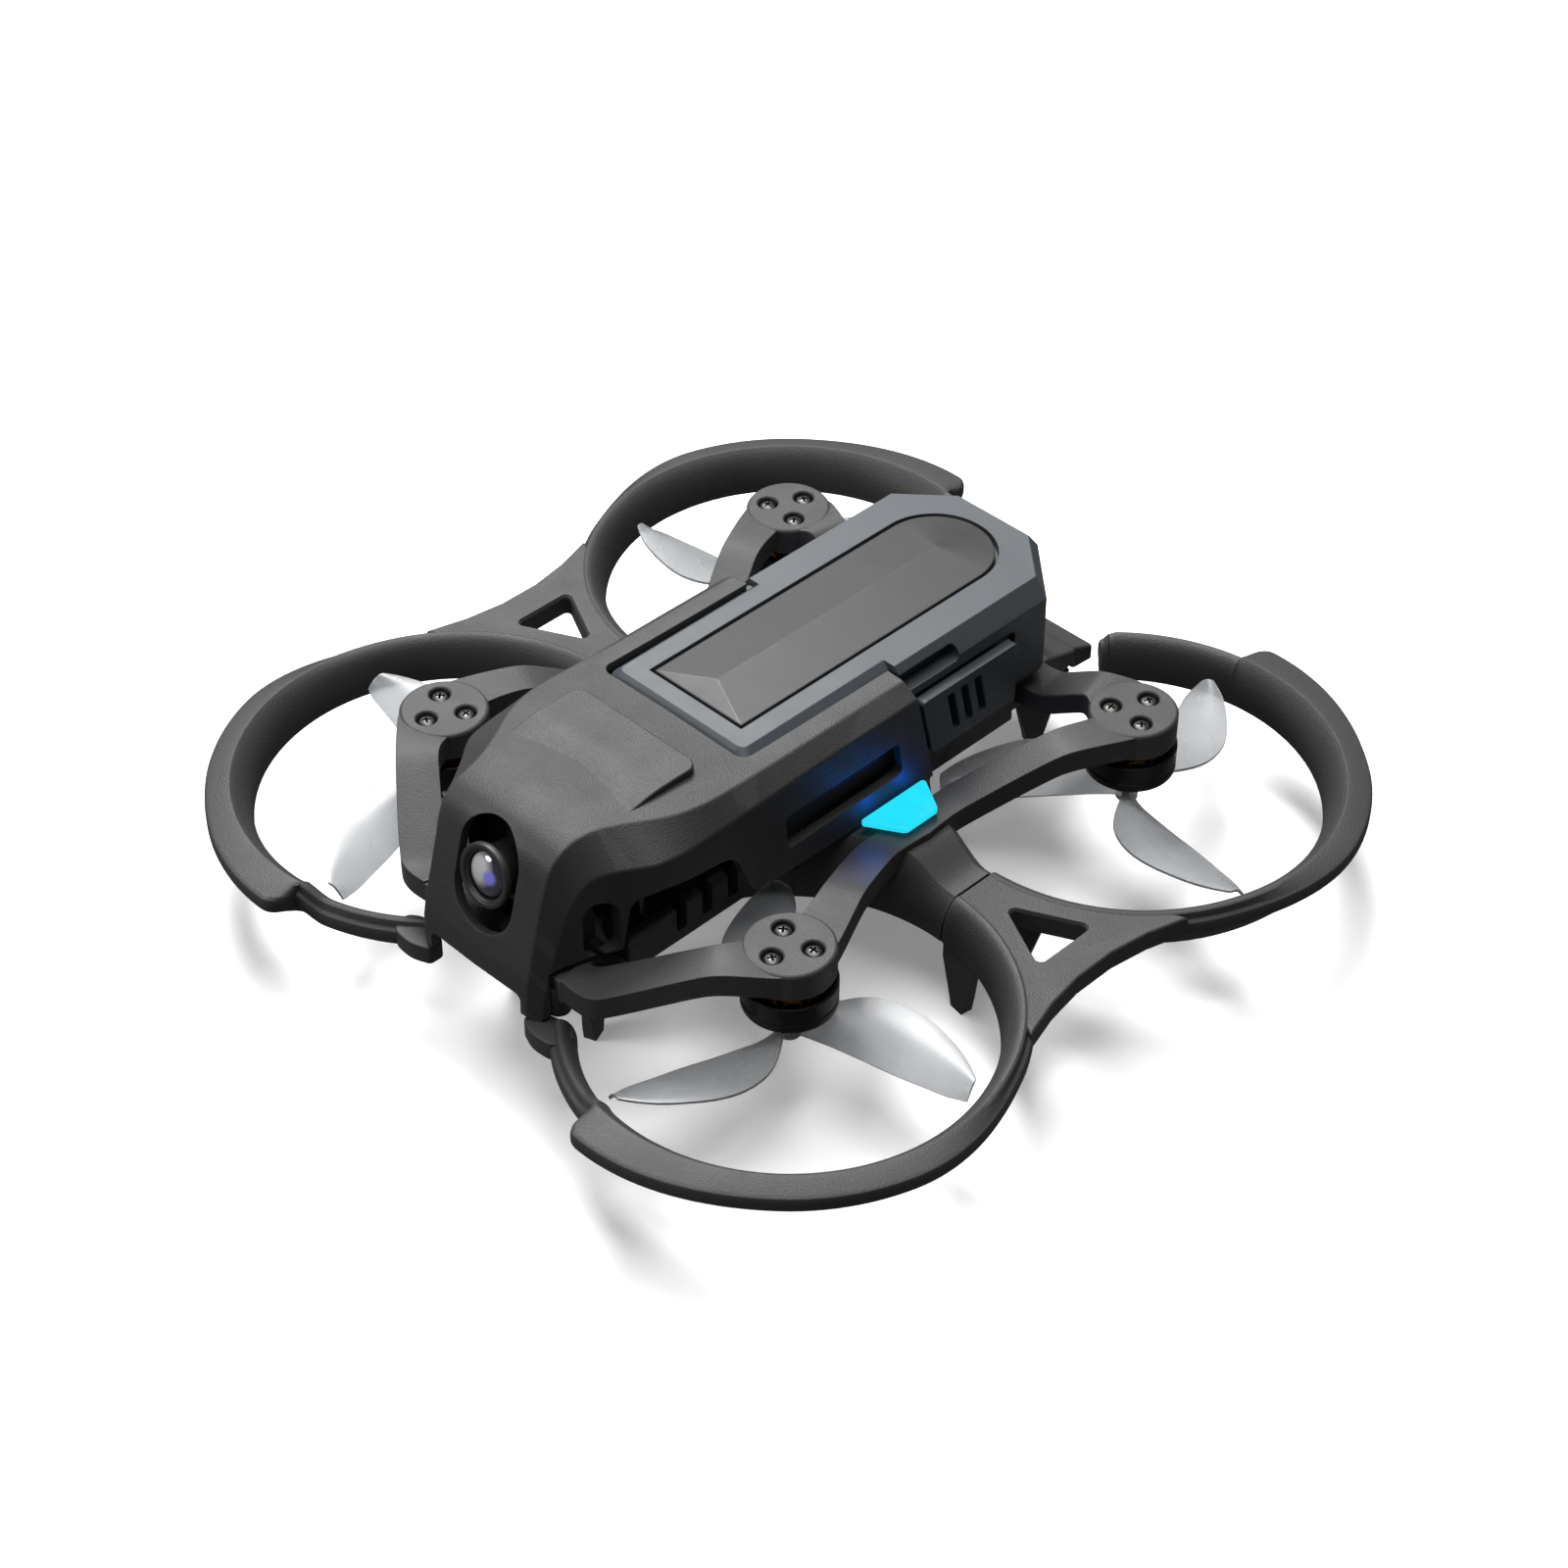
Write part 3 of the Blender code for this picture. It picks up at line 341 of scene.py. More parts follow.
class Nodes:
    """A short way to write a material's nodes."""

    def __init__(self, name):
        self.material = bpy.data.materials.new(name)
        self.material.use_nodes = True
        self.tree = self.material.node_tree
        self.shader = self.tree.nodes["Principled BSDF"]
        self.place = self.add("ShaderNodeTexCoord").outputs["Object"]

    def add(self, kind, **settings):
        node = self.tree.nodes.new(kind)
        for key, value in settings.items():
            setattr(node, key, value)
        return node

    def feed(self, socket, value):
        if isinstance(value, bpy.types.NodeSocket):
            self.tree.links.new(value, socket)
        else:
            socket.default_value = value

    def set(self, **sockets):
        for key, value in sockets.items():
            self.feed(self.shader.inputs[key.replace("_", " ")], value)

    def noise(self, size_mm, detail=2.0, roughness=0.5):
        node = self.add("ShaderNodeTexNoise")
        self.feed(node.inputs["Vector"], self.place)
        node.inputs["Scale"].default_value = 1000 / size_mm
        node.inputs["Detail"].default_value = detail
        node.inputs["Roughness"].default_value = roughness
        return node.outputs["Fac"]

    def bands(self, scale, distortion):
        node = self.add("ShaderNodeTexWave", wave_type="BANDS", bands_direction="Z")
        self.feed(node.inputs["Vector"], self.place)
        node.inputs["Scale"].default_value = scale
        node.inputs["Distortion"].default_value = distortion
        return node.outputs["Fac"]

    def ramp(self, value, low, high, from_low=0.3, from_high=0.7):
        node = self.add("ShaderNodeMapRange")
        self.feed(node.inputs["Value"], value)
        numbers = {"From Min": from_low, "From Max": from_high, "To Min": low, "To Max": high}
        for socket, number in numbers.items():
            node.inputs[socket].default_value = number
        return node.outputs["Result"]

    def mix(self, share, first, second):
        node = self.add("ShaderNodeMix", data_type="RGBA")
        self.feed(node.inputs["Factor"], share)
        self.feed(node.inputs[6], first)
        self.feed(node.inputs[7], second)
        return node.outputs[2]

    def bump(self, height, distance_mm, strength=1.0, normal=None):
        node = self.add("ShaderNodeBump")
        node.inputs["Strength"].default_value = strength
        node.inputs["Distance"].default_value = distance_mm * 0.001
        self.feed(node.inputs["Height"], height)
        if normal is not None:
            self.feed(node.inputs["Normal"], normal)
        return node.outputs["Normal"]

    def round_edges(self, radius_mm):
        node = self.add("ShaderNodeBevel", samples=6)
        node.inputs["Radius"].default_value = radius_mm * 0.001
        return node.outputs["Normal"]

    def convex_edge_mask(self, low=0.51, high=0.56):
        """1 along convex edges and 0 elsewhere."""
        geometry = self.add("ShaderNodeNewGeometry")
        return self.ramp(geometry.outputs["Pointiness"], 0.0, 1.0, low, high)


def grey(value, tint=(1.0, 1.0, 1.0)):
    return (value * tint[0], value * tint[1], value * tint[2], 1.0)


def moulded_plastic(name, tone, tint=(1, 1, 1), roughness=0.5, grain_mm=0.22, grain=0.035, edge_mm=0.22,
                    edge_highlight_gain=1.5, specular=0.5, speckle=0.3):
    """Moulded plastic: fine spark-eroded grain, slight mottling, and softly rounded edges with a painted
    highlight, a lighter colour along convex edges.
    """
    n = Nodes(name)
    mottled = n.mix(n.ramp(n.noise(9.0, 3.0), 0.0, 1.0), grey(tone * 0.93, tint), grey(tone * 1.07, tint))
    speckled = n.mix(n.ramp(n.noise(grain_mm * 1.3, 1.0), 0.0, speckle), mottled, grey(tone * 1.5, tint))
    # Painted highlight: the base colour is made lighter along convex edges, as if they caught the light.
    edge_highlighted = n.mix(n.convex_edge_mask(), speckled, grey(tone * edge_highlight_gain, tint))
    n.set(Base_Color=edge_highlighted, Roughness=n.ramp(n.noise(5.0, 3.0), roughness - 0.03, roughness + 0.04))
    n.shader.inputs["Specular IOR Level"].default_value = specular
    n.set(Normal=n.bump(n.noise(grain_mm, 2.0, 0.6), grain, 1.0, n.round_edges(edge_mm)))
    return n.material


def metal(name, colour, roughness, turned=False, edge_mm=0.08):
    """Metal with fine scratches, or with turning marks round an upright axis."""
    n = Nodes(name)
    dark = tuple(c * 0.8 for c in colour[:3]) + (1.0,)
    marks = n.noise(0.35, 3.0)
    if turned:
        marks = n.bands(2200.0, 0.6)
    n.set(Base_Color=n.mix(n.ramp(marks, 0.0, 1.0), dark, colour), Metallic=1.0)
    n.set(Roughness=n.ramp(n.noise(0.6, 2.0), roughness - 0.05, roughness + 0.1))
    n.set(Normal=n.bump(marks, 0.004, 0.6, n.round_edges(edge_mm)))
    return n.material


def clear_plastic():
    """Polycarbonate, clear with a faint frosting and flow marks."""
    n = Nodes("frosted_clear")
    n.set(Base_Color=n.mix(n.ramp(n.noise(6.0, 2.0), 0.0, 1.0), (0.40, 0.41, 0.42, 1), (0.35, 0.36, 0.37, 1)))
    n.shader.inputs["Transmission Weight"].default_value = 0.62
    n.shader.inputs["IOR"].default_value = 1.35
    n.set(Roughness=n.ramp(n.noise(9.0, 1.0), 0.22, 0.30))
    n.set(Normal=n.bump(n.noise(4.0, 2.0), 0.02, 0.5))
    return n.material


def copper_wire():
    n = Nodes("copper_winding")
    bands = n.bands(1500.0, 0.4)
    n.set(Base_Color=n.mix(bands, (0.30, 0.09, 0.02, 1), (0.85, 0.36, 0.12, 1)), Metallic=0.9)
    n.set(Roughness=n.ramp(n.noise(0.5), 0.25, 0.4), Normal=n.bump(bands, 0.05, 0.8))
    return n.material


def light_guide():
    """A lit cyan light guide, a little brighter along its edges."""
    n = Nodes("cyan_light")
    glow = n.mix(n.convex_edge_mask(0.5, 0.53), (0.004, 0.70, 0.96, 1), (0.02, 0.78, 1.0, 1))
    n.set(Base_Color=n.mix(n.ramp(n.noise(3.0), 0.0, 1.0), (0, 0.01, 0.02, 1), (0, 0.02, 0.03, 1)),
          Emission_Color=glow)
    n.shader.inputs["Specular IOR Level"].default_value = 0.1
    n.set(Emission_Strength=n.ramp(n.noise(2.5, 1.0), 0.93, 1.0), Roughness=0.3)
    return n.material


def lens_with_painted_reflections():
    """Dark coated glass, with a painted pale reflection and a painted violet-blue reflection mixed into its colour
    at fixed spots.
    """
    n = Nodes("lens_glass")
    face = PIVOT + Vector((0, -math.cos(NOSE_LEAN), math.sin(NOSE_LEAN))) * (LENS_REACH - 0.01)

    # A mask that is 1 round a fixed spot on the lens face, for the painted reflections.
    def painted_reflection_spot(x, z, radius):
        spot = n.add("ShaderNodeVectorMath", operation="DISTANCE")
        n.feed(spot.inputs[0], n.place)
        spot.inputs[1].default_value = TO_WORLD @ (face + Vector((x, 0, z)))
        return n.ramp(spot.outputs["Value"], 1.0, 0.0, radius * UNIT * 0.55, radius * UNIT)

    dark = n.mix(n.ramp(n.noise(1.6, 1.0), 0.0, 1.0), (0.02, 0.018, 0.04, 1), (0.035, 0.035, 0.06, 1))
    # Painted reflections: a pale patch left of centre and a violet-blue patch right of centre, put into the base
    # colour.
    pale_reflection = n.mix(painted_reflection_spot(-0.034, 0.020, 0.084), dark, (0.52, 0.52, 0.54, 1))
    n.set(Base_Color=n.mix(painted_reflection_spot(0.032, 0.008, 0.038), pale_reflection, (0.24, 0.22, 0.80, 1)))
    n.set(Roughness=n.ramp(n.noise(3.0, 1.0), 0.02, 0.06))
    n.shader.inputs["IOR"].default_value = 1.7
    n.shader.inputs["Coat Weight"].default_value = 1.0
    n.shader.inputs["Coat Roughness"].default_value = 0.03
    return n.material


def circuit_board():
    """Dark solder mask with faint copper tracks."""
    n = Nodes("circuit_board")
    brick = n.add("ShaderNodeTexBrick")
    n.feed(brick.inputs["Vector"], n.place)
    brick.inputs["Scale"].default_value = 700.0
    brick.inputs["Mortar Size"].default_value = 0.05
    brick.inputs["Color1"].default_value = (0.012, 0.02, 0.03, 1)
    brick.inputs["Color2"].default_value = (0.015, 0.028, 0.045, 1)
    brick.inputs["Mortar"].default_value = (0.05, 0.06, 0.06, 1)
    n.set(Base_Color=brick.outputs["Color"], Roughness=n.ramp(n.noise(1.0), 0.25, 0.45))
    n.set(Normal=n.bump(brick.outputs["Fac"], 0.02, 0.4))
    return n.material


def make_materials():
    return {
        "charcoal_plastic": moulded_plastic("charcoal_plastic", 0.029, roughness=0.52, grain_mm=0.28,
                                            grain=0.075, specular=0.32),
        "dark_grey_plastic": moulded_plastic("dark_grey_plastic", 0.022, roughness=0.42, grain_mm=0.3,
                                             grain=0.004, edge_highlight_gain=1.25, specular=0.35, speckle=0.06),
        "slate_plastic": moulded_plastic("slate_plastic", 0.045, (0.86, 1.0, 1.14), 0.44, 0.3, 0.004,
                                         edge_highlight_gain=1.25, specular=0.35, speckle=0.06),
        "black_plastic": moulded_plastic("black_plastic", 0.012, roughness=0.4, grain_mm=0.3, grain=0.01),
        "black_metal": metal("black_metal", (0.028, 0.028, 0.03, 1), 0.34, turned=True),
        "dark_steel": metal("dark_steel", (0.13, 0.13, 0.13, 1), 0.4),
        "screw_steel": metal("screw_steel", (0.10, 0.098, 0.095, 1), 0.38),
        "cell_foil": metal("cell_foil", (0.5, 0.5, 0.52, 1), 0.32),
        "frosted_clear": clear_plastic(),
        "copper_winding": copper_wire(),
        "cyan_light": light_guide(),
        "lens_glass": lens_with_painted_reflections(),
        "circuit_board": circuit_board(),
        "soft_rubber": moulded_plastic("soft_rubber", 0.02, roughness=0.75, grain_mm=0.4, grain=0.02),
        "lens_ring": moulded_plastic("lens_ring", 0.015, roughness=0.42, grain_mm=0.3, grain=0.006),
    }


MATERIALS = make_materials()


# Guards --------------------------------------------------------------------------------------


def guard_section(angle, rear):
    """(radius, height) points round the guard's wall at an angle in degrees."""
    past_notch = min(max((angle - NOTCH_ANGLE) / 4.5, 0.0), 1.0)
    start = math.sqrt(1 - (1 - past_notch) ** 2)
    bumper = start * smooth_step((24.0 - angle) / 42.0)
    spread = BUMPER_R - 0.05 * smooth_step((angle - NOTCH_ANGLE) / 50.0) - PLAIN_R
    strut = smooth_step((NOTCH_ANGLE + 1.5 - angle) / 9.0)
    if rear:
        strut = 0.55 * smooth_step((REAR_END_ANGLE + 3.5 - angle) / 3.5)
    outer = PLAIN_R + spread * bumper
    outer += (STRUT_R - outer) * strut
    crest = CREST_Z - 0.06 * strut
    lip = 0.905 - 0.02 * strut
    edge = crest - 0.045 + 0.015 * bumper
    under = edge - 0.052
    section = [(DUCT_R + DUCT_WALL, 0.0), (DUCT_R + 0.006, 0.0), (DUCT_R, 0.006)]
    end = math.radians(88 - 26 * bumper)
    low = 0.15 * crest
    for i in range(11):
        turn = end * i / 10
        across = (1 - math.cos(turn)) / (1 - math.cos(end))
        up = math.sin(turn) / math.sin(end)
        section.append((DUCT_R + (lip - DUCT_R) * across, low + (crest - low) * up))
    round_r = 0.018
    section += [(lip + 0.25 * (outer - lip), crest - 0.12 * (crest - edge))]
    section += [(outer - round_r * 1.2, edge + round_r * 0.75)]
    section += [(outer - round_r * 0.35, edge + round_r * 0.25), (outer, edge - round_r * 0.6)]
    section += [(outer, under + 0.01), (outer - 0.006, under - 0.006), (outer - 0.02, under - 0.014)]
    section += [(min(outer - 0.03, 0.90), 0.3 * under)]
    return section


def ring_arc(side_y):
    """The guard round a right-hand propeller, from the nose or tail end to past the seam."""
    rear = side_y > 0
    first = REAR_END_ANGLE if rear else FRONT_END_ANGLE
    angles = [first + (NOTCH_ANGLE - 9 - first) * i / 14 for i in range(15)]
    if rear:
        angles[1:1] = [first + 0.4 * i for i in range(1, 7)]
    angles += [NOTCH_ANGLE + step for step in
               (-8, -7, -6, -5, -4, -3, -2, -1, 0, 0.08, 0.25, 0.5, 0.9, 1.4, 2, 2.7, 3.5, 4.5, 6, 8, 10.5)]
    angles += [NOTCH_ANGLE + 13.5 + 2.5 * i for i in range(70)]
    sections = []
    for angle in angles:
        turn = math.radians(angle)
        sections.append([
            (1 + r * math.cos(turn), side_y - side_y * r * math.sin(turn), z)
            for r, z in guard_section(angle, rear)
        ])
    return loft(sections)


def foot(x, y):
    """A wedge that hangs under the duct wall and ends in a small flat tip."""
    centre = Vector((math.copysign(1, x), math.copysign(1, y)))
    radial = (Vector((x, y)) - centre).normalized()
    along = Vector((-radial.y, radial.x))
    inner = centre + radial * (DUCT_R + 0.004)
    rings = []
    for height, half, depth in ((0.06, 0.15, 0.020), (0.0, 0.122, 0.022), (-0.05, 0.105, 0.024),
                                (-0.22, 0.055, 0.05), (-0.26, 0.043, 0.054), (-FOOT_DROP, 0.035, 0.055)):
        near, far = inner, inner + radial * depth
        corners = (near - along * half, near + along * half, far + along * half, far - along * half)
        rings.append([(*corner, height) for corner in corners])
    return loft(rings)


def build_guard(side, sign):
    name = "guard_shell_" + side
    left = sign < 0
    ring = solid(name, mirrored(ring_arc(-1), x=left))
    web = [(SEAM_X - 0.06, -0.14), (1.30, -0.22), (1.64, -0.41), (1.772, -0.47), (1.716, -0.28),
           (1.688, -0.10)]
    web += [(x, -y) for x, y in reversed(web)]
    outline = [(sign * x, y) for x, y in web]
    bridge = soften(solid("bridge", prism(outline, 0.095, CREST_Z - 0.006)), 0.5, 3)
    ducts = [solid("duct", revolved([(0, 0.4), (0.905, 0.4), (0.905, -0.1), (0, -0.1)], (sign, y), 160))
             for y in (-1, 1)]
    hole = [(sign * x, y) for x, y in ((1.22, 0.0), (1.53, -0.155), (1.53, 0.155))]
    cut(bridge, *ducts, solid("triangle", prism(rounded(hole, 0.022), -0.1, 0.4)))
    rim = loft([[(x, y, z) for x, y in rounded([(sign * (1.43 + (abs(x) - 1.43) * grow), y * grow)
                                                 for x, y in hole], 0.026 * grow)]
                for z, grow in ((CREST_Z - 0.026, 0.98), (CREST_Z + 0.01, 1.17))])
    cut(bridge, solid("triangle_chamfer", rim))
    tab = [(0.275, -1.73), (0.36, -1.765), (0.47, -1.755), (0.50, -1.66), (0.43, -1.615), (0.275, -1.66)]
    tab = fillet([(sign * x, y) for x, y in tab], [0.02, 0.04, 0.04, 0.03, 0.03, 0.02])
    feet = [solid("foot", foot(sign * 1.14, y)) for y in (-0.2, 0.2)]
    join(ring, solid("rear_ring", mirrored(ring_arc(1), x=left)), bridge,
         soften(solid("tab", prism(tab, 0.03, 0.118)), 0.25, 2), *feet)
    near, far = sorted((sign * 0.5, sign * (SEAM_X + GAP / 2)))
    cut(ring, solid("seam", box((near, -0.35, -0.5), (far, 0.35, 0.5))))
    return place(ring, "airframe", ["guard_" + side], "charcoal_plastic", 24)


# Frame ---------------------------------------------------------------------------------------


def hourglass(radius, x_limit, y_limit, end_half):
    """The plan outline between the four ducts."""
    start = 180 - math.degrees(math.acos((1 - x_limit) / radius))
    end = 180 + math.degrees(math.asin((y_limit - 1) / radius))
    quarter = arc((1, -1), radius, start, end, 40)
    quarter.append((end_half, -y_limit - 0.02))
    front = quarter + [(-x, y) for x, y in reversed(quarter)]
    return front + [(x, -y) for x, y in reversed(front)]


def wing(sign):
    """The waist between a front and a rear duct, from the body out to the guard's seam."""
    sections = []
    inner, outer, steps = 0.435, SEAM_X - GAP / 2, 32
    for i in range(steps + 1):
        x = inner + (outer - inner) * i / steps
        top = CREST_Z - 0.006 + 0.10 * smooth_step((SEAM_X - 0.05 - x) / 0.22)
        profile = [(0.94, 0.105), (DUCT_R + DUCT_WALL, 0.0), (DUCT_R + 0.006, 0.0), (DUCT_R, 0.006)]
        for step in range(9):
            turn = WAIST_TURN * step / 8
            profile.append((DUCT_R + 0.085 * (1 - math.cos(turn)) / (1 - math.cos(WAIST_TURN)),
                            0.15 * top + 0.85 * top * math.sin(turn) / math.sin(WAIST_TURN)))
        half = [(1 - math.sqrt(max(r * r - (1 - x) ** 2, 0.0)), z) for r, z in profile]
        sections.append([(sign * x, -y, z) for y, z in half] + [(sign * x, y, z) for y, z in reversed(half)])
    return loft(sections)


def smooth_arm(points, left=False, back=False):
    """A flat arm whose two top edges run smoothly through the (outer, inner) pairs."""
    pull = 0.32
    rows = [[Vector(outer), Vector(inner)] for outer, inner in points]
    dense = []
    for i in range(len(rows) - 1):
        p0, p1, p2, p3 = rows[max(i - 1, 0)], rows[i], rows[i + 1], rows[min(i + 2, len(rows) - 1)]
        for step in range(8):
            dense.append([
                hermite(step / 8, p1[side], (p2[side] - p0[side]) * pull, p2[side],
                        (p3[side] - p1[side]) * pull)
                for side in (0, 1)
            ])
    dense.append(rows[-1])
    low = Vector((0, 0, ARM_THICK))
    bm = loft([[outer, inner, inner - low, outer - low] for outer, inner in dense])
    return soften(solid("arm", mirrored(bm, x=left, y=back)), 0.3, 3, 50)


FRONT_ARM = (
    ((1.10, -1.085, ARM_TOP), (0.90, -0.95, ARM_TOP)),
    ((1.105, -1.155, ARM_TOP), (0.855, -1.105, ARM_TOP)),
    ((0.905, -1.34, ARM_TOP), (0.79, -1.21, ARM_TOP)),
    ((0.57, -1.61, 0.335), (0.45, -1.47, 0.335)),
    ((0.40, -1.635, 0.335), (0.36, -1.47, 0.335)),
)
REAR_ARM = (
    ((1.06, 1.13, ARM_TOP), (1.00, 0.87, ARM_TOP)),
    ((0.90, 1.165, ARM_TOP), (0.86, 0.90, ARM_TOP)),
    ((0.735, 1.105, ARM_TOP), (0.785, 0.93, ARM_TOP)),
    ((0.50, 1.14, 0.345), (0.54, 0.95, 0.345)),
    ((0.36, 1.14, 0.335), (0.36, 0.95, 0.335)),
)
WAIST_ARM = (
    ((1.09, -0.97, ARM_TOP), (0.90, -1.02, ARM_TOP)),
    ((1.13, -0.88, ARM_TOP), (0.915, -0.86, ARM_TOP)),
    ((0.99, -0.575, ARM_TOP), (0.845, -0.65, ARM_TOP)),
    ((0.80, -0.20, 0.335), (0.655, -0.27, 0.335)),
    ((0.80, 0.01, 0.325), (0.655, 0.01, 0.325)),
)
# Half width, underside and top of the tail at each y
TAIL = (
    (0.93, 0.40, 0.175, 0.335),
    (1.18, 0.40, 0.175, 0.335),
    (1.36, 0.36, 0.165, 0.250),
    (1.42, 0.33, 0.140, 0.208),
    (1.46, 0.30, 0.060, 0.180),
    (1.585, 0.30, 0.050, 0.130),
)


def screw_places(x, y):
    first = -90 if y < 0 else 90
    return arc((x, y), SCREW_CIRCLE, first, first + 360, 3)[:3]


def build_frame():
    keel = hourglass(DUCT_R + 0.008, 0.47, 1.36, 0.20)
    shell = soften(solid("frame_shell", prism(keel, 0.004, KEEL_TOP)), 0.2, 2, 50)
    pocket = hourglass(DUCT_R + 0.045, 0.40, 1.32, 0.15)
    cut(shell, solid("keel_pocket", prism(pocket, -0.1, KEEL_TOP - 0.035)))
    spine = [(-1.62, 0.24), (-1.62, 0.30), (-1.38, 0.16), (-1.30, 0.13), (-1.25, 0.09), (-1.34, 0.06),
             (-1.36, 0.10)]
    tail = [[(-half, y, low), (half, y, low), (half, y, high), (-half, y, high)]
            for y, half, low, high in TAIL]
    pieces = [
        solid("nose_plate", prism(rectangle(-0.40, 0.40, -1.635, -1.47), 0.215, 0.325)),
        solid("spine", side_prism(spine, -0.19, 0.19)),
        soften(solid("tail", loft(tail)), 0.5, 3, 20),
    ]
    cheek = [(-1.50, 0.30), (-1.34, 0.30), (-1.36, 0.65), (-1.49, 0.65)]
    for low_x, high_x in ((-0.28, -0.235), (0.235, 0.28)):
        pieces.append(soften(solid("bracket", side_prism(cheek, low_x, high_x)), 0.2, 2))
    pieces.append(solid("nose_shelf", box((-0.42, -1.50, 0.205), (0.42, -1.31, 0.235))))
    for sign in (-1, 1):
        pieces.append(solid("waist", wing(sign)))
        boss = [(0, 0.26), (0.05, 0.26), (0.05, 0.118 + GAP), (0, 0.118 + GAP)]
        pieces.append(solid("nose_boss", revolved(boss, (sign * 0.34, -1.60), 40)))
        left = sign < 0
        for points in (FRONT_ARM, WAIST_ARM, REAR_ARM):
            pieces.append(smooth_arm(points, left))
        pieces.append(smooth_arm(WAIST_ARM, left, back=True))
    for x in (-1, 1):
        for y in (-1, 1):
            edge = 0.012
            mount = [(0, MOUNT_TOP), (MOUNT_R - edge, MOUNT_TOP),
                     (MOUNT_R - edge * 0.4, MOUNT_TOP - edge * 0.35), (MOUNT_R, MOUNT_TOP - edge),
                     (MOUNT_R, MOUNT_BOTTOM + 0.006), (MOUNT_R - 0.006, MOUNT_BOTTOM), (0, MOUNT_BOTTOM)]
            pieces.append(solid("mount", revolved(mount, (x, y), 96)))
            pieces.append(solid("foot", foot(x * 0.25, y * 1.30)))
    join(shell, *pieces)
    holes = []
    for x, y, _, _ in ROTORS.values():
        for spot in screw_places(x, y):
            wide, deep = SCREW_HEAD_R + 0.009, SCREW_SEAT
            hole = [(0, MOUNT_TOP + 0.1), (wide + 0.106, MOUNT_TOP + 0.1), (wide + 0.006, MOUNT_TOP),
                    (wide, MOUNT_TOP - 0.006), (wide, deep), (0, deep)]
            holes.append(solid("screw_hole", revolved(hole, spot, 36)))
    pin = revolved([(0, 0.5), (0.04, 0.5), (0.04, -0.5), (0, -0.5)], (0, 0), 24)
    pin.transform(Matrix.Translation(PIVOT) @ Matrix.Rotation(math.pi / 2, 4, "Y"))
    cut(shell, *holes, solid("pin_holes", pin))
    return place(shell, "airframe", ["main_frame"], "charcoal_plastic", 28)


# Motors and propellers -----------------------------------------------------------------------


def build_motor(name, x, y):
    lip = 0.014
    profile = [
        (0.0, MOUNT_BOTTOM - 0.045), (SHAFT_R, MOUNT_BOTTOM - 0.045), (SHAFT_R, BELL_BOTTOM + 0.022),
        (0.168, BELL_BOTTOM + 0.022), (0.168, BELL_TOP - 0.004), (0.172, BELL_TOP),
        (BELL_R - 0.004, BELL_TOP),
        (BELL_R, BELL_TOP - 0.004), (BELL_R, BELL_BOTTOM + 0.050), (BELL_R - 0.004, BELL_BOTTOM + 0.047),
        (BELL_R - 0.004, BELL_BOTTOM + 0.042), (BELL_R, BELL_BOTTOM + 0.039), (BELL_R, BELL_BOTTOM + lip),
        (BELL_R - 0.3 * lip, BELL_BOTTOM + 0.3 * lip), (BELL_R - lip, BELL_BOTTOM), (0.10, BELL_BOTTOM),
        (0.095, BELL_BOTTOM + 0.005), (0.06, BELL_BOTTOM + 0.005), (0.055, BELL_BOTTOM),
        (BOSS_R, BELL_BOTTOM), (BOSS_R, BOSS_END + 0.006), (SHAFT_R, BOSS_END), (0.0, BOSS_END),
    ]
    bell = solid("bell_shell_" + name, revolved(profile, (x, y), 96))
    place(bell, "rotor_" + name, ["motor_bell_" + name], "black_metal", 30)
    coils = bmesh.new()
    teeth = 9
    low, high = BELL_BOTTOM + 0.050, BELL_TOP + 0.004
    for i in range(teeth):
        turn = Matrix.Translation((x, y, 0)) @ Matrix.Rotation(2 * math.pi * i / teeth, 4, "Z")
        for layer in range(6):
            radius = 0.088 + 0.0105 * layer
            half, side = 0.030 + 0.0012 * layer, 0.006
            wire = 2 * side
            loop = rounded(rectangle(-half, half, low, high), 0.018, 4)
            inner = rounded(rectangle(-half + wire, half - wire, low + wire, high - wire), 0.010, 4)
            rings = []
            for points, reach in ((loop, radius - side * 0.5), (loop, radius + side * 0.5),
                                  (inner, radius + side * 0.5), (inner, radius - side * 0.5)):
                rings.append([coils.verts.new(turn @ Vector((reach, a, b))) for a, b in points])
            for first, second in zip(rings, rings[1:] + rings[:1]):
                for k in range(len(first)):
                    coils.faces.new((first[k - 1], first[k], second[k], second[k - 1]))
    wound = solid("coils_" + name, coils)
    place(wound, "airframe", ["motor_windings_" + name], "copper_winding", 40)


BLADE_TRAILING = ((0.036, 8), (0.10, 4), (0.20, 2), (0.32, 1), (0.45, 0), (0.60, 0), (0.70, 0), (0.783, 1.2))
BLADE_LEADING = ((0.036, 46), (0.10, 50), (0.20, 52), (0.32, 49), (0.45, 39), (0.60, 23), (0.70, 14),
                 (0.783, 6.5))


def blade_grid(spin):
    """The curved middle surface of one blade, with its trailing edge along +X."""
    bm = bmesh.new()
    rows = []
    along, across = 30, 12
    for i in range(along + 1):
        radius = 0.036 + (PROP_R - 0.036) * i / along
        trailing, leading = curve_value(BLADE_TRAILING, radius), curve_value(BLADE_LEADING, radius)
        pitch = 0.049 - 0.026 * radius
        row = []
        for step in range(across + 1):
            share = step / across
            angle = spin * math.radians(trailing + (leading - trailing) * share)
            height = 0.092 + pitch * (2 * share - 1) + 0.020 * math.sin(math.pi * share)
            row.append(bm.verts.new((radius * math.cos(angle), radius * math.sin(angle), height)))
        rows.append(row)
    for first, second in zip(rows, rows[1:]):
        for k in range(across):
            bm.faces.new((first[k], first[k + 1], second[k + 1], second[k]))
    return bm


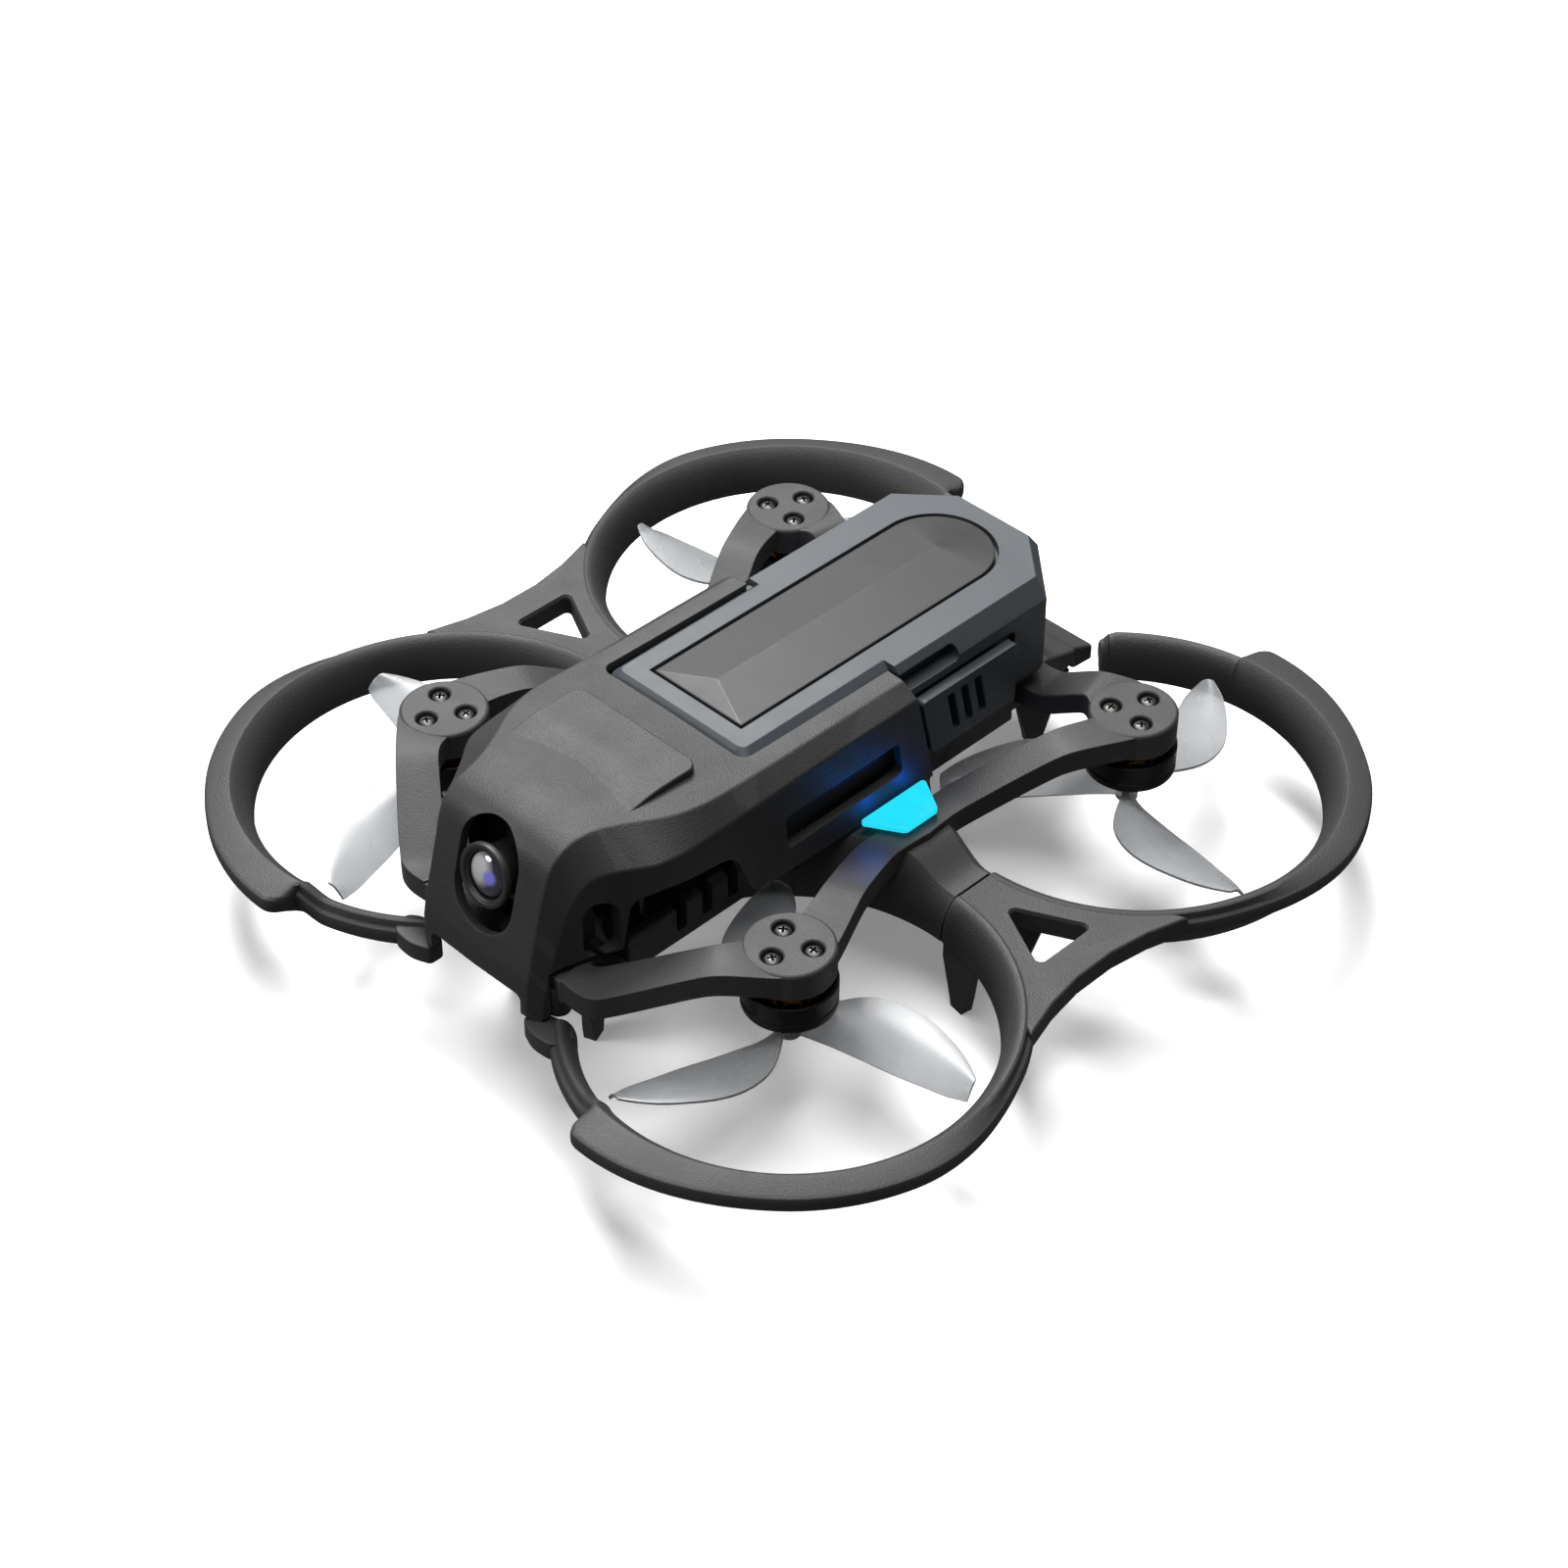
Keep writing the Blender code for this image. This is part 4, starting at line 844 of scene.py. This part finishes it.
def build_propeller(name, x, y, angle, spin):
    hub = [(0.0, PROP_HUB_TOP), (PROP_HUB_R - 0.006, PROP_HUB_TOP), (PROP_HUB_R, PROP_HUB_TOP - 0.006),
           (PROP_HUB_R, PROP_HUB_BOTTOM + 0.006), (PROP_HUB_R - 0.012, PROP_HUB_BOTTOM - 0.006),
           (0.0, PROP_HUB_BOTTOM - 0.008)]
    propeller = solid("prop_shell_" + name, revolved(hub, (x, y), 48))
    blades = []
    for i in range(3):
        surface = blade_grid(spin)
        turn = Matrix.Rotation(math.radians(angle + 120 * i), 4, "Z")
        surface.transform(Matrix.Translation((x, y, 0)) @ turn)
        blade = solid("blade", surface)
        thick = blade.modifiers.new("thickness", "SOLIDIFY")
        thick.thickness = BLADE_THICK * UNIT
        thick.offset = 0
        blades.append(settle(blade))
    join(propeller, *blades)
    bore = [(0, 0.4), (SHAFT_R + 0.010, 0.4), (SHAFT_R + 0.010, PROP_HUB_BOTTOM + 0.035),
            (0, PROP_HUB_BOTTOM + 0.035)]
    cut(propeller, solid("bore", revolved(bore, (x, y), 32)))
    place(propeller, "rotor_" + name, ["propeller_" + name], "frosted_clear", 40)


def build_screws(name, x, y):
    for number, spot in enumerate(screw_places(x, y), 1):
        top = MOUNT_TOP - 0.008
        head = [(0.0, top + 0.002), (0.012, top + 0.0015), (SCREW_HEAD_R - 0.010, top - 0.002),
                (SCREW_HEAD_R - 0.003, top - 0.007), (SCREW_HEAD_R, top - 0.013),
                (SCREW_HEAD_R, SCREW_SEAT + GAP), (0.0, SCREW_SEAT + GAP)]
        screw = solid(f"screw_head_{name}_{number}", revolved(head, spot, 40))
        slots = []
        for turn in (0, 90):
            rings = []
            for z, half, wide in ((top - 0.022, 0.013, 0.0035), (top + 0.02, 0.0275, 0.0062)):
                rings.append([(-half, -wide, z), (half, -wide, z), (half, wide, z), (-half, wide, z)])
            slot = loft(rings)
            slot.transform(Matrix.Rotation(math.radians(turn + 20 + 37 * number), 4, "Z"))
            slot.transform(Matrix.Translation((*spot, 0)))
            slots.append(solid("slot", slot))
        cut(screw, *slots)
        place(screw, "airframe", [f"motor_screw_{name}_{number}"], "screw_steel", 25)


# Canopy --------------------------------------------------------------------------------------

# Each row runs across half of the shell: the middle line, the upper crease and the lower crease,
# from the rear edge forward, over the brow and down the nose.
CANOPY_ROWS = (
    ((0.36, 0.855), (0.487, 0.36, 0.838), (0.560, 0.36, 0.780)),
    ((-0.50, 0.862), (0.492, -0.50, 0.850), (0.565, -0.50, 0.780)),
    ((-0.80, 0.872), (0.496, -0.80, 0.862), (0.568, -0.80, 0.776)),
    ((-0.96, 0.885), (0.490, -0.96, 0.868), (0.566, -0.98, 0.770)),
    ((-1.10, 0.894), (0.452, -1.10, 0.872), (0.560, -1.13, 0.766)),
    ((-1.25, 0.902), (0.372, -1.25, 0.878), (0.535, -1.25, 0.765)),
    ((-1.36, 0.904), (0.323, -1.36, 0.880), (0.460, -1.36, 0.758)),
    ((-1.46, 0.894), (0.303, -1.455, 0.869), (0.412, -1.46, 0.746)),
    ((-1.535, 0.868), (0.304, -1.530, 0.843), (0.404, -1.53, 0.710)),
    ((-1.590, 0.815), (0.304, -1.580, 0.790), (0.397, -1.573, 0.650)),
    ((-1.628, 0.690), (0.302, -1.618, 0.690), (0.389, -1.603, 0.570)),
    ((-1.668, 0.518), (0.301, -1.666, 0.518), (0.382, -1.643, 0.450)),
    ((-1.702, 0.386), (0.303, -1.700, 0.386), (0.376, -1.679, 0.324)),
    ((-1.722, 0.300), (0.300, -1.718, 0.300), (0.374, -1.700, 0.250)),
    ((-1.735, 0.135), (0.290, -1.728, 0.135), (0.366, -1.712, 0.135)),
)
# The nose's chamfer is made steeper by moving the lower crease inwards, back and down: the direction, and
# how far each of the last rows goes along it.
NOSE_PULL = (-0.538, 0.540, -0.648)
NOSE_SHIFTS = (0.012, 0.024, 0.032, 0.036, 0.036, 0.036, 0.036, 0.036)
CREASE_REACH = (0.009, 0.011)


def flowing(points, steps):
    """Points on a smooth curve that passes through the given ones."""
    path = []
    for i in range(len(points) - 1):
        start, end = points[i], points[i + 1]
        before, after = points[max(i - 1, 0)], points[min(i + 2, len(points) - 1)]
        span = (end - start).length
        leave = (end - before) * span / max((start - before).length + span, 1e-6)
        arrive = (after - start) * span / max((after - end).length + span, 1e-6)
        for step in range(steps):
            path.append(hermite(step / steps, start, leave, end, arrive))
    path.append(points[-1])
    return path


def turn_corner(before, corner, after, reach, steps=5):
    """Points that round a corner between two straight runs."""
    start = corner + (before - corner).normalized() * min(reach, 0.45 * (before - corner).length)
    end = corner + (after - corner).normalized() * min(reach, 0.45 * (after - corner).length)
    shares = [i / steps for i in range(steps + 1)]
    return [start.lerp(corner, t).lerp(corner.lerp(end, t), t) for t in shares]


def lower_crease():
    """The lower crease's points, to a thousandth as in the rows, with the nose's moved in."""
    shifts = (0,) * (len(CANOPY_ROWS) - len(NOSE_SHIFTS)) + NOSE_SHIFTS
    return [Vector([round(value + pull * shift, 3) for value, pull in zip(lower, NOSE_PULL)])
            for (_, _, lower), shift in zip(CANOPY_ROWS, shifts)]


def canopy_skin():
    """Half of the shell's outer skin: smooth lengthways, with two narrow rounded creases across."""
    steps = 7
    middles = flowing([Vector((0, y, z)) for (y, z), _, _ in CANOPY_ROWS], steps)
    uppers = flowing([Vector(upper) for _, upper, _ in CANOPY_ROWS], steps)
    lowers = flowing(lower_crease(), steps)
    bm = bmesh.new()
    rows = []
    for middle, upper, lower in zip(middles, uppers, lowers):
        hem = Vector((lower.x, lower.y, min(lower.z - 0.004, 0.133)))
        crown = middle.lerp(upper, 0.62) + Vector((0, 0, 0.3 * abs(middle.z - upper.z)))
        points = [middle.lerp(crown, i / 4).lerp(crown.lerp(upper, i / 4), i / 4) for i in range(4)]
        points += turn_corner(crown, upper, lower, CREASE_REACH[0])
        points += turn_corner(upper, lower, hem, CREASE_REACH[1])
        points += [lower.lerp(hem, 0.65), hem]
        rows.append([bm.verts.new(p) for p in points])
    for first, second in zip(rows, rows[1:]):
        for i in range(len(first) - 1):
            bm.faces.new((first[i], first[i + 1], second[i + 1], second[i]))
    return bm


def capsule(half_width, reach, steps=20):
    return (arc((0, reach), half_width, 0, 180, steps) + arc((0, -reach), half_width, 180, 360, steps))


def raised_plate():
    """The flat plate on the shell's roof, bent down towards the brow so that it sinks in there."""
    corners = rectangle(-PLATE_HALF, PLATE_HALF, PLATE_FRONT, PLATE_REAR)
    plate = solid("raised_plate", prism(rounded(corners, 0.055), 0.85, 0.907))
    strips = bmesh.new()
    strips.from_mesh(plate.data)
    for step in range(1, PLATE_STEPS):
        level = TO_WORLD @ Vector((0, PLATE_FRONT + (PLATE_REAR - PLATE_FRONT) * step / PLATE_STEPS, 0))
        bmesh.ops.bisect_plane(strips, geom=strips.verts[:] + strips.edges[:] + strips.faces[:],
                               plane_co=level, plane_no=(0, 1, 0))
    for vert in strips.verts:
        vert.co.z -= 0.05 * UNIT * smooth_step((-1.02 - vert.co.y / UNIT) / 0.36)
    strips.to_mesh(plate.data)
    strips.free()
    return soften(plate, 0.35, 4, 50)


def build_canopy():
    canopy = solid("canopy_shell", canopy_skin())
    mirror = canopy.modifiers.new("mirror", "MIRROR")
    mirror.use_clip = True
    mirror.merge_threshold = 0.00001
    shell = canopy.modifiers.new("shell", "SOLIDIFY")
    shell.thickness = SHELL * UNIT
    shell.offset = -1
    shell.use_even_offset = True
    settle(canopy)
    join(canopy, raised_plate())

    tilt = Matrix.Rotation(math.pi / 2 - NOSE_LEAN, 4, "X")
    window = loft([[(x, y, z) for x, y in capsule(WINDOW_HALF, WINDOW_REACH)] for z in (-0.12, 0.3)])
    window.transform(Matrix.Translation(WINDOW_CENTRE) @ tilt)
    cutters = [solid("camera_window", window)]
    bay = rectangle(-SLOT_HALF, SLOT_HALF, SLOT_FRONT, 2)
    cutters.append(solid("battery_slot", prism(rounded(bay, 0.05), 0.75, 1.0)))
    rear = [(0.31, 0.0), (0.27, 0.34), (0.15, 0.835), (0.15, 1.0), (0.6, 1.0), (0.6, 0.0)]
    cutters.append(solid("rear_edge", side_prism(fillet(rear, [0, 0.05, 0.06, 0, 0, 0]), -1, 1)))
    lower_edge = [(-1.655, 0.05), (-1.655, 0.352), (-1.36, 0.352), (-1.33, 0.60), (-1.24, 0.635),
                  (-0.90, 0.60), (-0.85, 0.56), (-0.76, 0.335), (-0.30, 0.318), (0.6, 0.318), (0.6, 0.05)]
    radii = [0, 0.02, 0.03, 0.06, 0.05, 0.04, 0.04, 0.06, 0, 0, 0]
    cutters.append(solid("lower_edge", side_prism(fillet(lower_edge, radii), -1, 1)))
    side_slot = rounded([(-0.57, 0.445), (0.09, 0.445), (0.06, 0.615), (-0.59, 0.615)], 0.03)
    cutters.append(solid("side_slots", side_prism(side_slot, -1, 1)))
    cheek = rounded(rectangle(-1.505, -1.368, 0.352, 0.612), 0.06)
    cutters.append(solid("cheek_holes", side_prism(cheek, -1, 1)))
    chin = extruded(rounded(rectangle(-0.262, 0.262, 0.0, CHIN_Z), 0.03), -1.9, -1.5,
                    lambda x, z, y: (x, y, z))
    cutters.append(solid("chin_opening", chin))
    cut(canopy, *cutters)
    return place(canopy, "airframe", ["canopy"], "charcoal_plastic", 30)


# Battery -------------------------------------------------------------------------------------


def battery_outline(inset):
    half, rear = BATTERY_HALF - inset, BATTERY_REAR - inset
    return [(-half, SLOT_FRONT + 0.03 + inset), (half, SLOT_FRONT + 0.03 + inset), (half, 1.03),
            (0.20, rear), (-0.20, rear), (-half, 1.03)]


def build_battery():
    low = BATTERY_BOTTOM
    levels = ((low, 0.045), (low + 0.012, 0.022), (low + 0.04, 0.006), (low + 0.07, 0.0), (SHOULDER_Z, 0.0))
    sections = [[(x, y, z) for x, y in battery_outline(inset)] for z, inset in levels]
    case = solid("battery_shell", loft(sections))
    rear = []
    for z, inset in ((SHOULDER_Z - 0.02, 0.0), (SHOULDER_Z + 0.01, 0.0), (BATTERY_TOP, 0.065)):
        points = battery_outline(inset)
        points[0] = (points[0][0], 0.17 + GAP)
        points[1] = (points[1][0], 0.17 + GAP)
        rear.append([(x, y, z) for x, y in points])
    neck, front = SLOT_HALF - GAP * 1.5, SLOT_FRONT + GAP * 1.5
    crown = []
    for z, inset in ((SHOULDER_Z - 0.02, 0.0), (0.825, 0.0), (BATTERY_TOP, 0.035)):
        corners = rectangle(-neck + inset, neck - inset, front + inset, 0.6)
        crown.append([(x, y, z) for x, y in rounded(corners, 0.05 - inset * 0.5, 5)])
    join(case, solid("case_rear", loft(rear)), solid("case_crown", loft(crown)))
    half, nose_y, tail_y = 0.262, -0.529, 1.13
    recess = [(-half, nose_y), (half, nose_y)] + arc((0, tail_y - half), half, 0, 180, 48)
    cutters = [solid("plate_recess", prism(recess, TOP_PLATE_FLOOR, 1.0))]
    pocket = [(0.27, 0.385), (0.84, 0.385), (0.84, 0.715), (0.19, 0.715)]
    groove = fillet([(-0.10, 0.752), (-0.10, 0.822), (0.50, 0.822), (0.50, 0.752)], [0, 0, 0.05, 0.05], 8)
    for sign in (-1, 1):
        inner, outer = sorted((sign * 0.446, sign * 1.0))
        cutters.append(solid("latch_pocket", side_prism(fillet(pocket, [0.03] * 4), inner, outer)))
        inner, outer = sorted((sign * 0.395, sign * 1.0))
        cutters.append(solid("rail_groove", side_prism(groove, inner, outer)))
    cut(case, *cutters)
    soften(case, 0.22, 3, 22)
    place(case, "battery", ["battery_case"], "slate_plastic", 30)
    build_top_plate(half - 1.6 * GAP, nose_y + 1.6 * GAP, tail_y - 1.6 * GAP)
    for side, sign in (("left", -1), ("right", 1)):
        near, far = sorted((sign * 0.482, sign * 0.530))
        outline = fillet([(0.300, 0.40), (0.80, 0.40), (0.80, 0.70), (0.228, 0.70)], [0.03, 0.02, 0.02, 0.03])
        tab = solid("latch_shell_" + side, side_prism(outline, near, far))
        slots = []
        for start in (0.375, 0.455, 0.535):
            slot = [(start, 0.66), (start + 0.042, 0.66), (start + 0.090, 0.45), (start + 0.048, 0.45)]
            slots.append(solid("slot", side_prism(fillet(slot, [0.016] * 4), -1, 1)))
        cut(tab, *slots)
        soften(tab, 0.2, 2)
        place(tab, "latch_" + side, ["battery_latch_" + side], "slate_plastic", 30)


def build_top_plate(half, nose_y, tail_y):
    """The ridged cover on the battery: a faceted nose, a ridge and a rounded tail."""
    steps = 48
    centre_y = tail_y - half
    rim = [(-half, nose_y), (half, nose_y)]
    rim += arc((0, centre_y), half, 0, 180, steps)
    low, high = TOP_PLATE_FLOOR + GAP, BATTERY_TOP - 0.002
    bm = bmesh.new()
    bottom = [bm.verts.new((x, y, low)) for x, y in rim]
    edge = [bm.verts.new((x, y, high)) for x, y in rim]
    bm.faces.new(bottom)
    for i in range(len(rim)):
        bm.faces.new((bottom[i - 1], bottom[i], edge[i], edge[i - 1]))
    nose = bm.verts.new((0, nose_y + 0.11, BATTERY_TOP + 0.030))
    tail = bm.verts.new((0, centre_y, BATTERY_TOP + 0.022))
    bm.faces.new((edge[0], edge[1], nose))
    bm.faces.new((edge[1], edge[2], tail, nose))
    bm.faces.new((edge[-1], edge[0], nose, tail))
    for i in range(2, len(rim) - 1):
        bm.faces.new((edge[i], edge[i + 1], tail))
    plate = solid("top_plate_shell", bm)
    soften(plate, 0.12, 2, 8)
    place(plate, "battery", ["battery_top_plate"], "dark_grey_plastic", 7)


# Smaller pieces ------------------------------------------------------------------------------


def build_tub():
    front, rear, wall, floor, rim = -1.30, 0.92, 0.04, 0.16, 0.345
    half = 0.425
    tub = solid("tub_shell", box((-half, front, floor), (half, rear, rim)))
    soften(tub, 0.5, 3)
    inside = box((-half + wall, front + wall, floor + wall), (half - wall, rear - wall, rim + 1))
    vents = []
    for y in (-1.02, -0.88, -0.74):
        outline = fillet(rectangle(y - 0.028, y + 0.028, floor + 0.06, rim + 1), [0.02, 0.02, 0, 0])
        vents.append(solid("vent", side_prism(outline, -1, 1)))
    cut(tub, solid("inside", inside), *vents)
    place(tub, "airframe", ["lower_tub"], "charcoal_plastic", 30)


def build_lights():
    for side, sign in (("left", -1), ("right", 1)):
        outline = [(0.585, -0.175), (0.60, -0.185), (0.745, -0.10), (0.757, -0.085), (0.757, 0.085),
                   (0.745, 0.10), (0.60, 0.185), (0.585, 0.175)]
        outline = fillet([(sign * x, y) for x, y in outline], [0.01] * 8)
        bar = solid("light_guide_" + side, prism(outline, 0.335 + GAP, 0.372))
        soften(bar, 0.45, 4)
        place(bar, "airframe", ["light_bar_" + side], "cyan_light", 40)


def toward_nose(bm):
    """Turns a piece modelled along +Z so that it looks out of the nose from the pivot."""
    lean = Matrix.Rotation(-NOSE_LEAN, 4, "X") @ Matrix.Rotation(math.pi / 2, 4, "X")
    bm.transform(Matrix.Translation(PIVOT) @ lean)
    return bm


def build_camera():
    bulkhead = soften(solid("nose_bulkhead", box((-0.37, -1.19, 0.335), (0.37, -1.16, 0.80))), 0.3, 2)
    place(bulkhead, "airframe", [], "satin_black", 30, "black_plastic")
    body = box((-0.20, -0.17, -0.12), (0.20, 0.17, 0.06))
    body = soften(solid("camera_shell", toward_nose(body)), 0.4, 3)
    place(body, "camera", ["camera_body"], "satin_black", 30, "black_plastic")
    reach = LENS_REACH
    tube, ring = 0.108, 0.030
    profile = [
        (tube, 0.06 + GAP), (tube, reach - ring), (LENS_R - 0.003, reach - ring),
        (LENS_R, reach - ring + 0.004), (LENS_R, reach - 0.006), (LENS_R - 0.002, reach - 0.002),
        (LENS_R - 0.006, reach), (0.113, reach),
        (0.110, reach - 0.002), (0.108, reach - 0.008), (0.102, reach - 0.010), (0.100, reach - 0.014),
        (0.098, reach - 0.022), (0.098, 0.06 + GAP),
    ]
    barrel = solid("barrel_shell", toward_nose(revolved(profile, (0, 0), 72)))
    place(barrel, "camera", ["lens_barrel"], "satin_black", 35, "lens_ring")
    rise, seat = 0.036, reach - 0.034
    dome = [(0.0, seat - 0.010), (0.096, seat - 0.010)]
    for degrees in range(0, 90, 5):
        turn = math.radians(degrees)
        dome.append((0.096 * math.cos(turn), seat + rise * math.sin(turn)))
    dome.append((0.0, seat + rise))
    glass = solid("glass_dome", toward_nose(revolved(dome, (0, 0), 64)))
    place(glass, "camera", ["lens_glass"], "lens_glass", 60)


def dress_cad_nodes():
    """The inner pieces keep their CAD shape and take a finished material."""
    slots = {entry["node"]: entry["material_slot"] for entry in frame["record"]["subparts"]}
    for node, obj in frame["nodes"].items():
        if obj.hide_render:
            continue
        obj.data.materials.clear()
        obj.data.materials.append(MATERIALS.get(slots[node], MATERIALS["black_plastic"]))


# Stage ---------------------------------------------------------------------------------------


def add_light(name, kind, energy, location, target, size=1.0, colour=(1, 1, 1)):
    data = bpy.data.lights.new(name, kind)
    data.energy = energy
    data.color = colour
    if kind == "AREA":
        data.shape = "DISK"
        data.size = size
    else:
        data.shadow_soft_size = size
    lamp = bpy.data.objects.new(name, data)
    lamp.location = location
    lamp.rotation_mode = "QUATERNION"
    lamp.rotation_quaternion = (Vector(location) - Vector(target)).to_track_quat("Z", "Y")
    bpy.context.scene.collection.objects.link(lamp)
    return lamp


# Name, energy, place, aim and width of each soft light, in watts and metres
STUDIO_LIGHTS = (
    ("key", 19.0, (-0.60, 0.35, 0.95), (0, 0, 0), 0.55),
    ("top", 11.0, (0.0, 0.05, 1.1), (0, 0, 0), 0.9),
    ("rim", 4.5, (-0.55, -0.75, 0.45), (0, 0, 0.02), 0.4),
)
WORLD_STRENGTH = 0.13
FLOOR_EMISSION = 0.22
GLOW_ENERGY = 0.0007


def build_stage():
    bm = bmesh.new()
    bmesh.ops.create_grid(bm, x_segments=2, y_segments=2, size=3.0)
    mesh = bpy.data.meshes.new("floor")
    bm.to_mesh(mesh)
    bm.free()
    floor = bpy.data.objects.new("floor", mesh)
    bpy.context.scene.collection.objects.link(floor)
    floor.visible_diffuse = False
    floor.visible_glossy = False
    n = Nodes("floor_paper")
    n.set(Base_Color=n.mix(n.ramp(n.noise(80.0), 0.0, 1.0), grey(0.90), grey(0.92)), Roughness=0.9)
    n.set(Emission_Color=grey(1.0), Emission_Strength=FLOOR_EMISSION)
    n.shader.inputs["Specular IOR Level"].default_value = 0.1
    mesh.materials.append(n.material)

    world = bpy.data.worlds.new("studio")
    world.use_nodes = True
    world.node_tree.nodes["Background"].inputs["Color"].default_value = (1, 1, 1, 1)
    world.node_tree.nodes["Background"].inputs["Strength"].default_value = WORLD_STRENGTH
    bpy.context.scene.world = world
    bpy.context.scene.view_settings.view_transform = "Standard"
    for name, energy, location, target, size in STUDIO_LIGHTS:
        add_light(name, "AREA", energy, location, target, size)


def build_light_glow():
    """Small blue lights just above the light bars, for the glow on the shell and arms beside them."""
    for sign in (-1, 1):
        for y in (-0.10, 0.10):
            spot = TO_WORLD @ Vector((sign * 0.615, y, 0.396))
            add_light(f"glow_{sign}_{y}", "POINT", GLOW_ENERGY, spot, (0, 0, 0), 0.0012, (0.0, 0.09, 1.0))


CAMERA_AZIMUTH = math.radians(44.874)
CAMERA_ELEVATION = math.radians(40.365)
CAMERA_ROLL = math.radians(0.1435)
CAMERA_DISTANCE = 14.5287
CAMERA_TARGET = (-0.0961, 0.0686, 0.0)
LENS_MM = 79.03


def build_view():
    data = bpy.data.cameras.new("camera")
    data.lens = LENS_MM
    data.sensor_width = 36.0
    data.clip_start = 0.01
    data.clip_end = 20.0
    camera = bpy.data.objects.new("camera", data)
    bpy.context.scene.collection.objects.link(camera)
    level = math.cos(CAMERA_ELEVATION)
    right = Vector((math.cos(CAMERA_AZIMUTH), math.sin(CAMERA_AZIMUTH), 0.0))
    back = Vector((right.y * level, -right.x * level, math.sin(CAMERA_ELEVATION)))
    up = back.cross(right)
    turned_right = right * math.cos(CAMERA_ROLL) + up * math.sin(CAMERA_ROLL)
    turned_up = up * math.cos(CAMERA_ROLL) - right * math.sin(CAMERA_ROLL)
    place_matrix = Matrix((turned_right, turned_up, back)).transposed().to_4x4()
    place_matrix.translation = TO_WORLD @ Vector(CAMERA_TARGET) + back * CAMERA_DISTANCE * UNIT
    camera.matrix_world = place_matrix
    bpy.context.scene.camera = camera


def main():
    build_view()
    build_stage()
    build_frame()
    build_guard("right", 1)
    build_guard("left", -1)
    for name, (x, y, angle, spin) in ROTORS.items():
        build_motor(name, x, y)
        build_propeller(name, x, y, angle, spin)
        build_screws(name, x, y)
    build_canopy()
    build_tub()
    build_battery()
    build_lights()
    build_light_glow()
    build_camera()
    dress_cad_nodes()


main()
